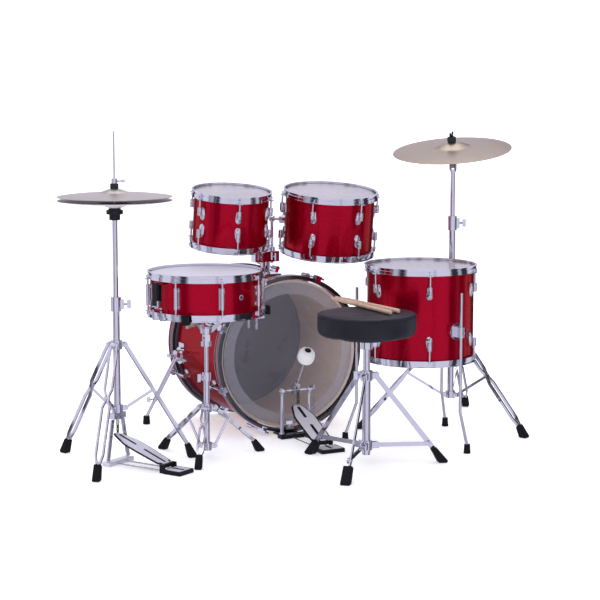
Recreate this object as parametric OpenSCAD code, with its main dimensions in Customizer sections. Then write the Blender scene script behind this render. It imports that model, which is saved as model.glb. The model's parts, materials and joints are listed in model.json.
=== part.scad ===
// Five-piece acoustic drum kit with its stands, cymbals, bass drum pedal, throne and sticks.
// Millimetres, +Z up. The origin is on the floor under the middle of the whole kit.
// The drummer sits on the -Y side and the audience is on the +Y side.

/* [Bass drum] */
// Shell diameter of the bass drum
bass_d = 508; // [500:1:512]
// Shell length of the bass drum
bass_l = 406; // [400:1:410]
// Width of each wooden hoop of the bass drum
bass_hoop_w = 38; // [34:1:42]
// Number of claws at each end of the bass drum
bass_claws = 8; // [6:2:8]

/* [Toms] */
// Shell diameter of the small tom
tom1_d = 254; // [250:1:258]
// Shell depth of the small tom
tom1_h = 178; // [170:1:184]
// Shell diameter of the large tom
tom2_d = 305; // [300:1:308]
// Shell depth of the large tom
tom2_h = 203; // [196:1:208]
// Tilt of both toms towards the drummer, in degrees
tom_tilt = 7.3; // [4:0.1:10]

/* [Floor tom and snare drum] */
// Shell diameter of the floor tom
floor_d = 356; // [350:1:360]
// Shell depth of the floor tom
floor_h = 305; // [298:1:310]
// Height of the floor tom's top hoop above the floor
floor_top = 597; // [590:1:604]
// Shell diameter of the snare drum
snare_d = 356; // [352:1:358]
// Shell depth of the snare drum
snare_h = 127; // [120:1:134]
// Height of the snare drum's top hoop above the floor
snare_top = 605; // [600:1:612]

/* [Drum shells] */
// Thickness of the wooden shells
shell_t = 7.2; // [6:0.1:9]
// How far a metal hoop stands above the shell's edge
hoop_rise = 8; // [6:0.5:10]

/* [Cymbals] */
// Diameter of the two hi-hat cymbals
hat_d = 356; // [350:1:360]
// Diameter of the crash cymbal
crash_d = 406; // [400:1:412]
// Open gap between the two hi-hat cymbals
hat_gap = 13; // [13:1:20]
// Tilt of the crash cymbal, in degrees
crash_tilt = 10.6; // [6:0.1:14]

/* [Throne] */
// Diameter of the seat
seat_d = 315; // [300:1:330]
// Thickness of the seat cushion
seat_t = 72; // [64:1:80]
// Height of the seat's base board above the floor
seat_z = 406; // [404:1:440]

/* [Hidden] */
$fn = 64;
// Places on the floor
bass_at = [29, 154];
tom1_at = [-156, 224, 835.5];
tom2_at = [179, 151, 829.5];
floor_at = [369, -129];
snare_at = [-368, -36];
hihat_at = [-660, -2];
crash_at = [601, 49];
throne_at = [19, -395];
holder_at = [29, 354];
pedal_at = [16, 94];
// Leg directions of each tripod, in degrees
hihat_legs = [113.7, 233.7, -6.3];
snare_legs = [117.8, 237.8, -2.2];
crash_legs = [168.2, 288.2, 48.2];
throne_legs = [107, 227, -13];
floor_legs = [158, 278, 38];
// Fits and gaps
run = 0.05;
jaw_t = 3.7;
gap = 0.3;
rod_r = 3;
pin_r = 3;
// Bass drum
bass_r = bass_d / 2;
bass_hoop_r = bass_r + 16;
bass_z = bass_hoop_r + jaw_t + gap;
bass_y0 = bass_at[1] + 15;
claw_q = 23;
// Metal hoops
hoop_flange = 9;
hoop_drop = 14;
ear_out = 18;
lug_q = 11.5;
// Colours
chrome = [0.82, 0.82, 0.86];
red = [0.6, 0.02, 0.09];
black = [0.08, 0.08, 0.09];
skin = [0.8, 0.78, 0.8];
brass = [0.72, 0.64, 0.48];

// ---------- shared shapes ----------

// Stands its children at a, with +Z pointing at b.
module along(a, b) {
    v = b - a;
    translate(a) rotate([0, acos(v[2] / norm(v)), atan2(v[1], v[0])]) children();
}

module rod(a, b, r) {
    along(a, b) cylinder(r = r, h = norm(b - a));
}

// A flat bar: w across in the upright plane of a and b, t thick.
module bar(a, b, w, t) {
    along(a, b) translate([-w / 2, -t / 2, 0]) cube([w, t, norm(b - a)]);
}

module ring(ro, ri, h) {
    difference() {
        cylinder(r = ro, h = h);
        translate([0, 0, -1]) cylinder(r = ri, h = h + 2);
    }
}

module block(size, at) {
    translate(at - size / 2) cube(size);
}

module wing_screw(a, b, r, head) {
    rod(a, b, r);
    along(b, b + (b - a)) block([2 * head, 4, 12], [0, 0, 6]);
}

// ---------- drums, each standing on z = 0 at the shell's lower edge ----------

module shell(d, h, vent_angle) {
    r = d / 2 - 1.5;
    difference() {
        rotate_extrude($fn = 96)
            polygon([[r - shell_t, shell_t - 1.5], [r - 1.5, 0], [r, 1.5], [r, h - 1.5],
                [r - 1.5, h], [r - shell_t, h - shell_t + 1.5]]);
        rotate([0, 0, vent_angle]) translate([r - shell_t - 2, 0, h / 2]) rotate([0, 90, 0])
            cylinder(r = 6, h = shell_t + 4);
    }
}

// Film, collar and flesh hoop of the upper head; collar is the film's depth down the shell.
module head(d, h, collar) {
    r = d / 2;
    translate([0, 0, h]) rotate_extrude($fn = 96)
        polygon([[0, 0.1], [r - 1.2, 0.1], [r - 1.2, -collar], [r + 5, -collar],
            [r + 5, -collar + 7.7], [r - 0.7, -collar + 7.7], [r - 0.7, 0.5], [0, 0.5]]);
}

module heads(d, h) {
    head(d, h, 12);
    translate([0, 0, h]) mirror([0, 0, 1]) head(d, h, 12);
}

// Triple-flanged hoop of the upper edge, with an ear at each tension rod.
module hoop(d, h, n, start) {
    r = d / 2;
    difference() {
        union() {
            translate([0, 0, h]) rotate_extrude($fn = 96)
                polygon([[r + 2.6, hoop_rise], [r + hoop_flange, hoop_rise],
                    [r + hoop_flange, hoop_rise - 2.3], [r + 4.9, hoop_rise - 2.3], [r + 4.9, -1.7],
                    [r + 7.6, -1.7], [r + 7.6, 2.3 - hoop_drop], [r + hoop_flange, 2.3 - hoop_drop],
                    [r + hoop_flange, -hoop_drop], [r + 5.3, -hoop_drop], [r + 5.3, -4], [r + 2.6, -4]]);
            for (i = [0 : n - 1]) rotate([0, 0, start + i * 360 / n])
                translate([r + 8, -9, h - hoop_drop - 0.2]) cube([ear_out - 8, 18, 2.2]);
        }
        for (i = [0 : n - 1]) rotate([0, 0, start + i * 360 / n])
            translate([r + lug_q, 0, h - hoop_drop - 1]) cylinder(r = rod_r + 0.3, h = 5);
    }
}

module hoops(d, h, n, start) {
    hoop(d, h, n, start);
    translate([0, 0, h]) mirror([0, 0, 1]) hoop(d, h, n, start);
}

// Tension rod with its washer and square head, from the hoop's ear down into the lug.
module tension_rod(h, reach) {
    translate([0, 0, h - reach]) cylinder(r = rod_r, h = reach - hoop_drop + 2.7);
    translate([0, 0, h - hoop_drop + 2.6]) cylinder(r = 3.7, h = 2);
    block([7, 7, 9], [0, 0, h - hoop_drop + 9]);
}

// A small lug: base on the shell and a barrel that takes the rod, hanging down from z.
module small_lug(r, z, len) {
    difference() {
        union() {
            translate([r + lug_q, 0, z - len]) cylinder(r = 7.5, h = len);
            translate([r - 1.2, -6, z - len]) cube([lug_q, 12, len]);
            translate([r - 1.2, 0, z - len]) rotate([0, 90, 0]) cylinder(r = 9, h = 10);
        }
        translate([r + lug_q, 0, z - 30]) cylinder(r = rod_r + run, h = 40);
    }
}

module lug_row(d, h, n, start, inset) {
    r = d / 2;
    for (i = [0 : n - 1]) rotate([0, 0, start + i * 360 / n]) {
        small_lug(r, h - inset, 34);
        translate([r + lug_q, 0, 0]) tension_rod(h, inset + 20);
    }
}

module lugs(d, h, n, start, inset) {
    lug_row(d, h, n, start, inset);
    translate([0, 0, h]) mirror([0, 0, 1]) lug_row(d, h, n, start, inset);
}

// ---------- folding tripods; each leg lies in its own XZ plane, +X outwards ----------

leg_w = 10;
leg_t = 6;
eye_t = 6.4;
leg_wide = 11.5;
leg_pinch = 5;
hub_y = 9.5;
brace_t = 3;
brace_w = 9;
pivot_r = 27;

function on_leg(p, f, s, y) = [p[0] + s * (f[0] - p[0]), y, p[2] + s * (f[2] - p[2])];

// Rubber foot: a wedge whose top follows the leg and whose sole is flat on the floor.
module foot(p, f, r, length, wide) {
    u = (f - p) / norm(f - p);
    n = [u[2], 0, -u[0]];
    e = f - u * length;
    translate([0, wide / 2, 0]) rotate([90, 0, 0]) linear_extrude(wide)
        polygon([[e[0] + 8 * n[0], e[2] + 8 * n[2]], [r - 14, 0], [r + 12, 0], [r + 15, 7],
            [e[0] - 8 * n[0], e[2] - 8 * n[2]]]);
}

// Two strips spread apart between the pivots, with a rivet at the brace.
module strip_leg(p, f, joint, spread, foot_len, foot_wide, rivet) {
    full = norm(f - p);
    last = (full - foot_len - 1.5) / full;
    knots = [[0, hub_y], [0.08, spread], [joint - 0.07, spread], [joint - 0.025, leg_pinch],
        [joint + 0.025, leg_pinch], [joint + 0.07, spread], [last - 0.07, spread],
        [last, leg_pinch]];
    outer = [for (k = knots) [k[1] + leg_t / 2, k[0] * full]];
    inner = [for (i = [len(knots) - 1 : -1 : 0]) [knots[i][1] - leg_t / 2, knots[i][0] * full]];
    difference() {
        union() {
            for (side = [0, 1]) mirror([0, side, 0]) along(p, f)
                translate([-leg_w / 2, 0, 0]) rotate([90, 0, 90]) linear_extrude(leg_w)
                    polygon(concat(outer, inner));
            for (side = [-1, 1]) translate(p + [0, side * hub_y + eye_t / 2, 0])
                rotate([90, 0, 0]) cylinder(r = 7, h = eye_t);
            j = on_leg(p, f, joint, 0);
            if (rivet) translate(j + [0, 10, 0]) rotate([90, 0, 0]) cylinder(r = pin_r, h = 20);
            l = on_leg(p, f, last - 0.015, 0);
            translate(l) rotate([90, 0, 0]) translate([0, 0, -7.2]) cylinder(r = 3.6, h = 14.4);
        }
        translate(p + [0, 20, 0]) rotate([90, 0, 0]) cylinder(r = pin_r + run, h = 40);
    }
    foot(p, f, f[0], foot_len, foot_wide);
}

// Brace between the collar's pivot and the leg, with an eye at each end.
module brace(c, j) {
    difference() {
        union() {
            bar(c, j, brace_w, brace_t);
            for (e = [c, j]) translate(e + [0, brace_t / 2, 0]) rotate([90, 0, 0])
                cylinder(r = 6, h = brace_t);
        }
        for (e = [c, j]) translate(e + [0, 20, 0]) rotate([90, 0, 0])
            cylinder(r = pin_r + run, h = 40);
    }
}

// Upper hub: a ring round the tube with one block and one pin for each leg.
module leg_hub(z, tube, legs, high) {
    difference() {
        union() {
            translate([0, 0, z - high / 2]) cylinder(r = tube + 7, h = high);
            for (a = legs) rotate([0, 0, a]) {
                translate([tube, -6, z - 8]) cube([pivot_r - tube, 12, 16]);
                translate([pivot_r, 6, z]) rotate([90, 0, 0]) cylinder(r = 8, h = 12);
                translate([pivot_r, 14.5, z]) rotate([90, 0, 0]) cylinder(r = pin_r, h = 29);
            }
        }
        translate([0, 0, z - high]) cylinder(r = tube + run, h = 2 * high);
    }
}

// Lower collar: a ring with two ears and a pin for each brace.
module brace_collar(z, tube, legs) {
    difference() {
        union() {
            translate([0, 0, z - 12]) cylinder(r = tube + 6, h = 24);
            for (a = legs) rotate([0, 0, a]) {
                for (y = [-5, 2]) translate([tube, y, z - 8]) cube([pivot_r - tube, 3, 16]);
                for (y = [-2, 5]) translate([pivot_r, y, z]) rotate([90, 0, 0])
                    cylinder(r = 8, h = 3);
                translate([pivot_r, 7, z]) rotate([90, 0, 0]) cylinder(r = pin_r, h = 14);
            }
        }
        translate([0, 0, z - 20]) cylinder(r = tube + run, h = 40);
    }
}

// Base tube with its height clamp and wing screw on top.
module base_tube(z0, z1, tube, inner, clamp_z, screw_angle) {
    difference() {
        union() {
            translate([0, 0, z0]) cylinder(r = tube, h = z1 - z0);
            translate([0, 0, clamp_z]) cylinder(r = tube + 5, h = z1 - clamp_z);
            rotate([0, 0, screw_angle]) translate([tube, -7, clamp_z + 6])
                cube([14, 14, z1 - clamp_z - 14]);
        }
        translate([0, 0, z0 - 1]) cylinder(r = inner + run, h = z1 - z0 + 2);
    }
    rotate([0, 0, screw_angle])
        translate([0, 0, clamp_z + (z1 - clamp_z) / 2])
            wing_screw([tube + 14.3, 0, 0], [tube + 24, 0, 0], 4, 13);
}

// ---------- bass drum ----------

// Stands a drum's own +Z along the kit's +Y.
module bass_place() {
    translate([bass_at[0], bass_y0, bass_z]) rotate([-90, 0, 0]) children();
}

module bass_shell() {
    color(red) bass_place() shell(bass_d, bass_l, 150);
}

module bass_hoop() {
    translate([0, 0, -15]) ring(bass_hoop_r, bass_r + 2.5, bass_hoop_w);
}

module bass_hoops() {
    color(black) bass_place() {
        bass_hoop();
        translate([0, 0, bass_l]) mirror([0, 0, 1]) bass_hoop();
    }
}

module bass_batter_head() {
    color([0.8, 0.8, 0.85, 0.4]) bass_place() mirror([0, 0, 1])
        head(bass_d, 0, bass_hoop_w - 15 + 8);
}

module bass_front_head() {
    color(black) bass_place() head(bass_d, bass_l, bass_hoop_w - 15 + 8);
}

// Claw hooked over the hoop, its T-rod and the lug on the shell, at the batter edge.
module claw_set() {
    q = bass_r + claw_q;
    difference() {
        union() {
            translate([bass_hoop_r + 0.3, -10, -19]) cube([13, 20, 26]);
            translate([bass_hoop_r - 9, -10, -19]) cube([12, 20, 3.7]);
        }
        translate([q, 0, -30]) cylinder(r = rod_r + 0.3, h = 60);
    }
    translate([q, 0, -22]) cylinder(r = rod_r, h = 106);
    translate([q - 3, -17, -26]) cube([6, 34, 6]);
    difference() {
        union() {
            translate([q, 0, 64]) cylinder(r = 8, h = 40);
            translate([bass_r - 1.2, -6, 64]) cube([claw_q, 12, 40]);
            translate([bass_r - 1.2, 0, 84]) rotate([0, 90, 0]) cylinder(r = 17, h = 7);
        }
        translate([q, 0, 50]) cylinder(r = rod_r + run, h = 40);
        translate([0, 0, 40]) cylinder(r = bass_r - 1.5, h = 90);
    }
}

module bass_lugs_and_claws() {
    color(chrome) bass_place() for (i = [0 : bass_claws - 1])
        rotate([0, 0, (i + 0.5) * 360 / bass_claws]) {
            claw_set();
            translate([0, 0, bass_l]) mirror([0, 0, 1]) claw_set();
        }
}

// Spur brackets on the shell's two sides, and the folding spurs.
spur_y = bass_y0 + 325;
spur_z = 240;
spur_x = bass_r + 24;

module spur_bracket() {
    difference() {
        union() {
            translate([bass_r - 8, spur_y, spur_z]) rotate([0, 90, 0]) cylinder(r = 30, h = 22);
            translate([bass_r - 8, spur_y - 22, spur_z - 26]) cube([14, 44, 70]);
        }
        translate([0, bass_y0, bass_z]) rotate([-90, 0, 0]) cylinder(r = bass_r - 1.4, h = bass_l);
    }
    translate([bass_r + 13, spur_y, spur_z]) rotate([0, 90, 0]) cylinder(r = 6, h = 35.5);
    block([5, 40, 10], [bass_r + 50.5, spur_y, spur_z]);
}

module spur_brackets() {
    color(chrome) translate([bass_at[0], 0, 0]) {
        spur_bracket();
        mirror([1, 0, 0]) spur_bracket();
    }
}

// The spur turns about the bracket's bolt; its tube runs down and outwards.
module spur() {
    top = [spur_x, spur_y, spur_z];
    tip = [384, spur_y + 32, 20];
    knee = top + (tip - top) * 0.72;
    difference() {
        union() {
            translate([bass_r + 14.4, spur_y, spur_z]) rotate([0, 90, 0]) cylinder(r = 20, h = 16);
            rod(top + [0, 0, -4], knee, 8);
        }
        translate([bass_r, spur_y, spur_z]) rotate([0, 90, 0]) cylinder(r = 6 + run, h = 60);
    }
    rod(knee + (tip - top) * 0.003, tip, 5.5);
    difference() {
        translate(tip - [2.5, 1, tip[2]]) cylinder(r1 = 13, r2 = 11, h = 30);
        rod(knee, tip + (tip - top) * 0.0015, 5.5 + run);
    }
    wing_screw(knee + [8.5, 0, 6], knee + [16, 0, 6], 3, 9);
}

module spur_right() {
    color(chrome) translate([bass_at[0], 0, 0]) spur();
}

module spur_left() {
    color(chrome) translate([bass_at[0], 0, 0]) mirror([1, 0, 0]) spur();
}

// ---------- rack toms and their holder ----------

arm_r = 5.25;
arm_gap = 26;
holder_z = 572;

module tom_holder() {
    top = bass_z + bass_r - 1.5;
    color(chrome) translate([holder_at[0], holder_at[1], 0]) {
        difference() {
            union() {
                translate([-40, -45, top - 14]) cube([80, 90, 20]);
                translate([0, 0, top]) cylinder(r = 17, h = holder_z - top);
                translate([-46, -17, holder_z]) cube([92, 34, 36]);
            }
            translate([0, -100, bass_z]) rotate([-90, 0, 0]) cylinder(r = bass_r - 1.5, h = 200);
            for (x = [-arm_gap, arm_gap]) translate([x, 0, holder_z - 1])
                cylinder(r = arm_r + run, h = 60);
        }
        for (x = [-arm_gap, arm_gap]) translate([x, -17.3, holder_z + 18])
            wing_screw([0, 0, 0], [0, -8, 0], 4, 13);
    }
}

function tom_centre(at, h) = [at[0], at[1] + (h / 2 + hoop_rise) * sin(tom_tilt),
    at[2] - (h / 2 + hoop_rise) * cos(tom_tilt)];

// Puts a drum standing on z = 0 under the place of its top hoop.
module tom_place(at, h) {
    translate(tom_centre(at, h)) rotate([tom_tilt, 0, 0]) translate([0, 0, -h / 2]) children();
}

// The rod up from the holder, its elbow, and the rod into the drum's bracket.
module tom_arm(at, d, h, x) {
    c = tom_centre(at, h);
    elbow = [holder_at[0] + x, holder_at[1], c[2]];
    u = (c - elbow) / norm(c - elbow);
    reach = norm(c - elbow) - d / 2 - 8;
    color(chrome) {
        rod([elbow[0], elbow[1], holder_z - 6], elbow, arm_r);
        translate(elbow) sphere(r = 12);
        rod(elbow, elbow + u * reach, arm_r);
        translate([elbow[0], elbow[1], holder_z + 37]) cylinder(r = 11, h = 12);
    }
}

// Bracket on the tom's shell: a clamp block bored for the arm's rod.
module tom_bracket(at, d, h, x) {
    c = tom_centre(at, h);
    elbow = [holder_at[0] + x, holder_at[1], c[2]];
    u = (elbow - c) / norm(elbow - c);
    difference() {
        union() {
            along(c + u * (d / 2 - 8), elbow) block([66, 44, 16], [0, 0, 8]);
            along(c + u * (d / 2), elbow) cylinder(r = 15, h = 38);
        }
        rod(c + u * (d / 2 + 5), elbow, arm_r + run);
        tom_place(at, h) translate([0, 0, -20]) cylinder(r = d / 2 - 1.5, h = h + 40);
    }
    along(c + u * (d / 2 + 26), elbow) translate([-15.3, 0, 0])
        wing_screw([0, 0, 0], [-8, 0, 0], 4, 12);
}

module tom1_shell() {
    color(red) tom_place(tom1_at, tom1_h) shell(tom1_d, tom1_h, 107);
}

module tom1_hoops() {
    color(chrome) tom_place(tom1_at, tom1_h) hoops(tom1_d, tom1_h, 6, 17);
}

module tom1_heads() {
    color(skin) tom_place(tom1_at, tom1_h) heads(tom1_d, tom1_h);
}

module tom1_lugs() {
    color(chrome) {
        tom_place(tom1_at, tom1_h) lugs(tom1_d, tom1_h, 6, 17, 38);
        tom_bracket(tom1_at, tom1_d, tom1_h, -arm_gap);
    }
}

module tom1_arm() {
    tom_arm(tom1_at, tom1_d, tom1_h, -arm_gap);
}

module tom2_shell() {
    color(red) tom_place(tom2_at, tom2_h) shell(tom2_d, tom2_h, 72);
}

module tom2_hoops() {
    color(chrome) tom_place(tom2_at, tom2_h) hoops(tom2_d, tom2_h, 6, 42);
}

module tom2_heads() {
    color(skin) tom_place(tom2_at, tom2_h) heads(tom2_d, tom2_h);
}

module tom2_lugs() {
    color(chrome) {
        tom_place(tom2_at, tom2_h) lugs(tom2_d, tom2_h, 6, 42, 40);
        tom_bracket(tom2_at, tom2_d, tom2_h, arm_gap);
    }
}

module tom2_arm() {
    tom_arm(tom2_at, tom2_d, tom2_h, arm_gap);
}

// ---------- floor tom ----------

floor_z0 = floor_top - hoop_rise - floor_h;
floor_leg_q = floor_d / 2 + 34;

module floor_place() {
    translate([floor_at[0], floor_at[1], floor_z0]) children();
}

module floor_tom_shell() {
    color(red) floor_place() shell(floor_d, floor_h, 99);
}

module floor_tom_hoops() {
    color(chrome) floor_place() hoops(floor_d, floor_h, 6, 9);
}

module floor_tom_heads() {
    color(skin) floor_place() heads(floor_d, floor_h);
}

// Lugs, and the three brackets that clamp the leg rods.
module floor_tom_lugs() {
    color(chrome) floor_place() {
        lugs(floor_d, floor_h, 6, 9, 48);
        for (a = floor_legs) rotate([0, 0, a]) {
            difference() {
                union() {
                    translate([floor_d / 2 - 3, 0, 108]) rotate([0, 90, 0]) cylinder(r = 27, h = 16);
                    translate([floor_leg_q, 0, 91]) cylinder(r = 11, h = 34);
                    translate([floor_d / 2 + 10, -9, 91]) cube([24, 18, 34]);
                }
                translate([0, 0, 60]) cylinder(r = floor_d / 2 - 1, h = 100);
                translate([floor_leg_q, 0, 60]) cylinder(r = 5 + run, h = 100);
            }
            wing_screw([floor_leg_q + 11.3, 0, 108], [floor_leg_q + 20, 0, 108], 4, 13);
        }
    }
}

// Three bent rods with rubber tips.
module floor_tom_legs() {
    bend = [floor_leg_q, 0, 130];
    tip = [floor_leg_q + 40, 0, 14];
    color(chrome) translate([floor_at[0], floor_at[1], 0]) for (a = floor_legs)
        rotate([0, 0, a]) {
            rod(bend, [floor_leg_q, 0, 520], 5);
            translate(bend) sphere(r = 5.3);
            rod(bend, tip, 5);
            difference() {
                translate([tip[0] - 2.5, 0, 0]) cylinder(r1 = 11.5, r2 = 9.5, h = 30);
                rod(bend, tip + (tip - bend) * 0.004, 5 + run);
            }
        }
}

// ---------- snare drum ----------

snare_z0 = snare_top - hoop_rise - snare_h;
strainer_angle = 194.8;
strap_y = 20;

module snare_place() {
    translate([snare_at[0], snare_at[1], snare_z0]) children();
}

module snare_shell() {
    color(red) snare_place() shell(snare_d, snare_h, 284.8);
}

module snare_hoops() {
    color(chrome) snare_place() hoops(snare_d, snare_h, 8, 37);
}

module snare_heads() {
    color([0.94, 0.94, 0.95]) snare_place() heads(snare_d, snare_h);
}

// Eight tube lugs on two posts each, with a rod from either end.
module snare_lugs() {
    r = snare_d / 2;
    color(chrome) snare_place() for (i = [0 : 7]) rotate([0, 0, 37 + i * 45]) {
        difference() {
            union() {
                translate([r + lug_q, 0, 30]) cylinder(r = 6, h = snare_h - 60);
                for (z = [38, snare_h - 38]) translate([r - 1.4, 0, z]) rotate([0, 90, 0])
                    cylinder(r = 5, h = lug_q);
                translate([r - 1.2, -9, 30]) cube([4, 18, snare_h - 60]);
            }
            translate([0, 0, 20]) cylinder(r = r - 1.4, h = 100);
            translate([r + lug_q, 0, 0]) cylinder(r = rod_r + run, h = snare_h);
        }
        translate([r + lug_q, 0, 0]) tension_rod(snare_h, 52);
        translate([r + lug_q, 0, snare_h]) mirror([0, 0, 1]) tension_rod(snare_h, 52);
    }
}

// Strainer body on one side of the shell and the butt plate on the other.
module snare_strainer() {
    r = snare_d / 2;
    color(chrome) snare_place() rotate([0, 0, strainer_angle]) {
        difference() {
            union() {
                translate([r - 6, -18, 26]) cube([18, 36, 78]);
                for (y = [-18, 12]) translate([r + 12, y, 32]) cube([14, 6, 22]);
                translate([r + 20, 18, 43]) rotate([90, 0, 0]) cylinder(r = pin_r, h = 36);
            }
            cylinder(r = r - 1.4, h = 130);
        }
        difference() {
            translate([-r - 14, -22, 24]) cube([20, 44, 40]);
            cylinder(r = r - 1.4, h = 130);
        }
    }
}

// Throw-off lever, hinged low on the strainer.
module snare_lever() {
    r = snare_d / 2;
    color(black) snare_place() rotate([0, 0, strainer_angle]) difference() {
        union() {
            translate([r + 15, -11, 43]) cube([10, 22, 67]);
            translate([r + 20, 11, 43]) rotate([90, 0, 0]) cylinder(r = 7, h = 22);
        }
        translate([r + 20, 20, 43]) rotate([90, 0, 0]) cylinder(r = pin_r + run, h = 40);
    }
}

// Plastic strap: under the hoop, up to its clamp at q, with or without a loose tail below.
module strap(q, y, top, tail) {
    t = 0.8;
    low = -9.6;
    end = tail ? [[q, -74], [q - t, -74], [q - t, low]] : [[q, low]];
    translate([0, y + 5, 0]) rotate([90, 0, 0]) linear_extrude(10)
        polygon(concat([[146, -3], [172, low + t], [q - t, low + t], [q - t, top], [q, top]],
            end, [[172, low], [146, -3.9]]));
}

// Snare wires under the lower head, and the straps that pull them from both sides.
module snare_wires() {
    r = snare_d / 2;
    color(chrome) snare_place() rotate([0, 0, strainer_angle]) {
        for (i = [0 : 9]) translate([-140, -20 + i * 4.4, -2.4]) rotate([0, 90, 0])
            cylinder(r = 1.1, h = 280);
        for (x = [-148, 132]) translate([x, -24, -3.6]) cube([16, 48, 3]);
        for (y = [-strap_y, strap_y]) {
            strap(r + 16.5, y, 23, false);
            mirror([1, 0, 0]) strap(r + 16.5, y, 23, true);
        }
    }
}

// ---------- snare stand ----------

module snare_stand_place() {
    translate([snare_at[0], snare_at[1], 0]) children();
}

module tripod(hub_z, collar_z, tube, legs, foot_r, joint, spread, foot_len, foot_wide) {
    p = [pivot_r, 0, hub_z];
    f = [foot_r, 0, 18];
    leg_hub(hub_z, tube, legs, 28);
    brace_collar(collar_z, tube, legs);
    for (a = legs) rotate([0, 0, a]) {
        strip_leg(p, f, joint, spread, foot_len, foot_wide, true);
        brace([pivot_r, 0, collar_z], on_leg(p, f, joint, 0));
    }
}

module snare_stand_base() {
    color(chrome) snare_stand_place() {
        base_tube(21, 276, 9.5, 6.5, 248, 210);
        tripod(160, 33, 9.5, snare_legs, 185, 0.3, 9.5, 30, 22);
    }
}

module snare_stand_tube() {
    color(chrome) snare_stand_place() {
        translate([0, 0, 120]) cylinder(r = 6.5, h = 262);
        translate([0, 0, 360]) cylinder(r = 17, h = 16);
        for (y = [-12, 8]) translate([-8, y, 375.5]) cube([16, 4, 22]);
        translate([0, 12, 392]) rotate([90, 0, 0]) cylinder(r = pin_r, h = 24);
    }
}

// Basket: a tilting hub, three arms and a rubber grip at each arm's end.
basket_r = snare_d / 2 + ear_out;
basket_arms = [228, 348, 108];

module snare_basket() {
    hoop_z = snare_z0 - hoop_rise;
    color(chrome) snare_stand_place() {
        difference() {
            union() {
                translate([0, 7.7, 392]) rotate([90, 0, 0]) cylinder(r = 7.5, h = 15.4);
                translate([-5, -7.7, 392]) cube([10, 15.4, 16]);
                translate([0, 0, 402]) cylinder(r = 19, h = 16);
            }
            translate([0, 20, 392]) rotate([90, 0, 0]) cylinder(r = pin_r + run, h = 40);
        }
        for (a = basket_arms) rotate([0, 0, a]) translate([0, 3, 0]) rotate([90, 0, 0])
            linear_extrude(6) polygon([[14, 404], [21, 404], [58, 438], [basket_r - 5, hoop_z - 19],
                [basket_r - 6, hoop_z - 8], [54, 449], [14, 415]]);
    }
    color(black) snare_stand_place() for (a = basket_arms) rotate([0, 0, a]) {
        translate([basket_r - 14, -11, hoop_z - 7]) cube([14, 22, 6.6]);
        translate([basket_r + 0.5, -11, hoop_z - 7]) cube([13, 22, 30]);
        translate([basket_r - 0.5, -11, hoop_z - 7]) cube([2, 22, 6.6]);
    }
}

// ---------- pedals: +Y runs from the heel to the toe ----------

heel_len = 66;
hinge_z = 20;
board_t = 5;
neck = 12;

// Board with its hinge barrel; half widths are given at the heel, the middle and the toe.
module pedal_board(hinge_y, toe, heel_w, mid_w, toe_w) {
    len = norm([toe[0] - hinge_y, toe[1] - hinge_z]);
    slope = atan2(toe[1] - hinge_z, toe[0] - hinge_y);
    difference() {
        translate([0, hinge_y, hinge_z]) union() {
            rotate([slope, 0, 0]) translate([0, 0, 1]) linear_extrude(board_t)
                polygon([[-22, 0], [22, 0], [22, neck], [heel_w, neck], [mid_w, 0.45 * len],
                    [mid_w, 0.7 * len], [toe_w, 0.96 * len], [toe_w - 8, len], [8 - toe_w, len],
                    [-toe_w, 0.96 * len], [-mid_w, 0.7 * len], [-mid_w, 0.45 * len],
                    [-heel_w, neck], [-22, neck]]);
            rotate([0, 90, 0]) translate([0, 0, -24]) cylinder(r = 6.5, h = 48);
        }
        translate([-60, hinge_y, hinge_z]) rotate([0, 90, 0]) cylinder(r = pin_r + run, h = 120);
    }
}

// Heel plate with the ears and the pin of the board's hinge, and the two rods to the base.
module heel_plate(hinge_y, base_y, wide) {
    translate([-wide / 2, hinge_y - heel_len - 8, 0]) cube([wide, heel_len, 13]);
    for (x = [-32, 25]) translate([x, hinge_y - 10, 0]) cube([7, 18, hinge_z + 7]);
    translate([-31, hinge_y, hinge_z]) rotate([0, 90, 0]) cylinder(r = pin_r, h = 62);
    for (x = [-22, 22]) rod([x, hinge_y - 7.6, 6], [x, base_y - 2.4, 6], 2.5);
}

// ---------- hi-hat stand ----------

hihat_turn = 29.2;
hihat_hinge_y = -200;
hihat_toe = [12, 95];

module hihat_place() {
    translate([hihat_at[0], hihat_at[1], 0]) children();
}

module hihat_base() {
    color(chrome) hihat_place() {
        base_tube(143, 531, 11, 8, 487, -27);
        tripod(381, 178, 11, hihat_legs, 245, 0.416, leg_wide, 34, 24);
        rotate([0, 0, hihat_turn]) {
            difference() {
                translate([-28, -11, 146]) cube([56, 22, 19]);
                translate([0, 0, 100]) cylinder(r = 11 + run, h = 100);
            }
            for (side = [-1, 1]) bar([side * 24, 0, 144], [side * 49, 0, 16], 14, 5);
            translate([-60, -16, 0]) cube([120, 32, 14]);
            heel_plate(hihat_hinge_y, -14, 70);
        }
    }
}

hat_edge = 846;
hat_rise = 24;

module hihat_tube() {
    color(chrome) hihat_place() difference() {
        union() {
            translate([0, 0, 330]) cylinder(r = 8, h = 443);
            translate([0, 0, 773]) cylinder(r = 17, h = 17);
            translate([0, 0, 790]) cylinder(r = 26, h = hat_edge - hat_gap - hat_rise - 794);
            translate([0, 0, 790]) cylinder(r = 20, h = hat_edge - hat_gap - hat_rise - 790.2);
            translate([0, 0, 790]) cylinder(r = 6, h = hat_edge - hat_gap - hat_rise - 782);
        }
        translate([0, 0, 320]) cylinder(r = 5, h = 440);
        translate([0, 0, 320]) cylinder(r = rod_r + run, h = 600);
    }
}

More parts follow.
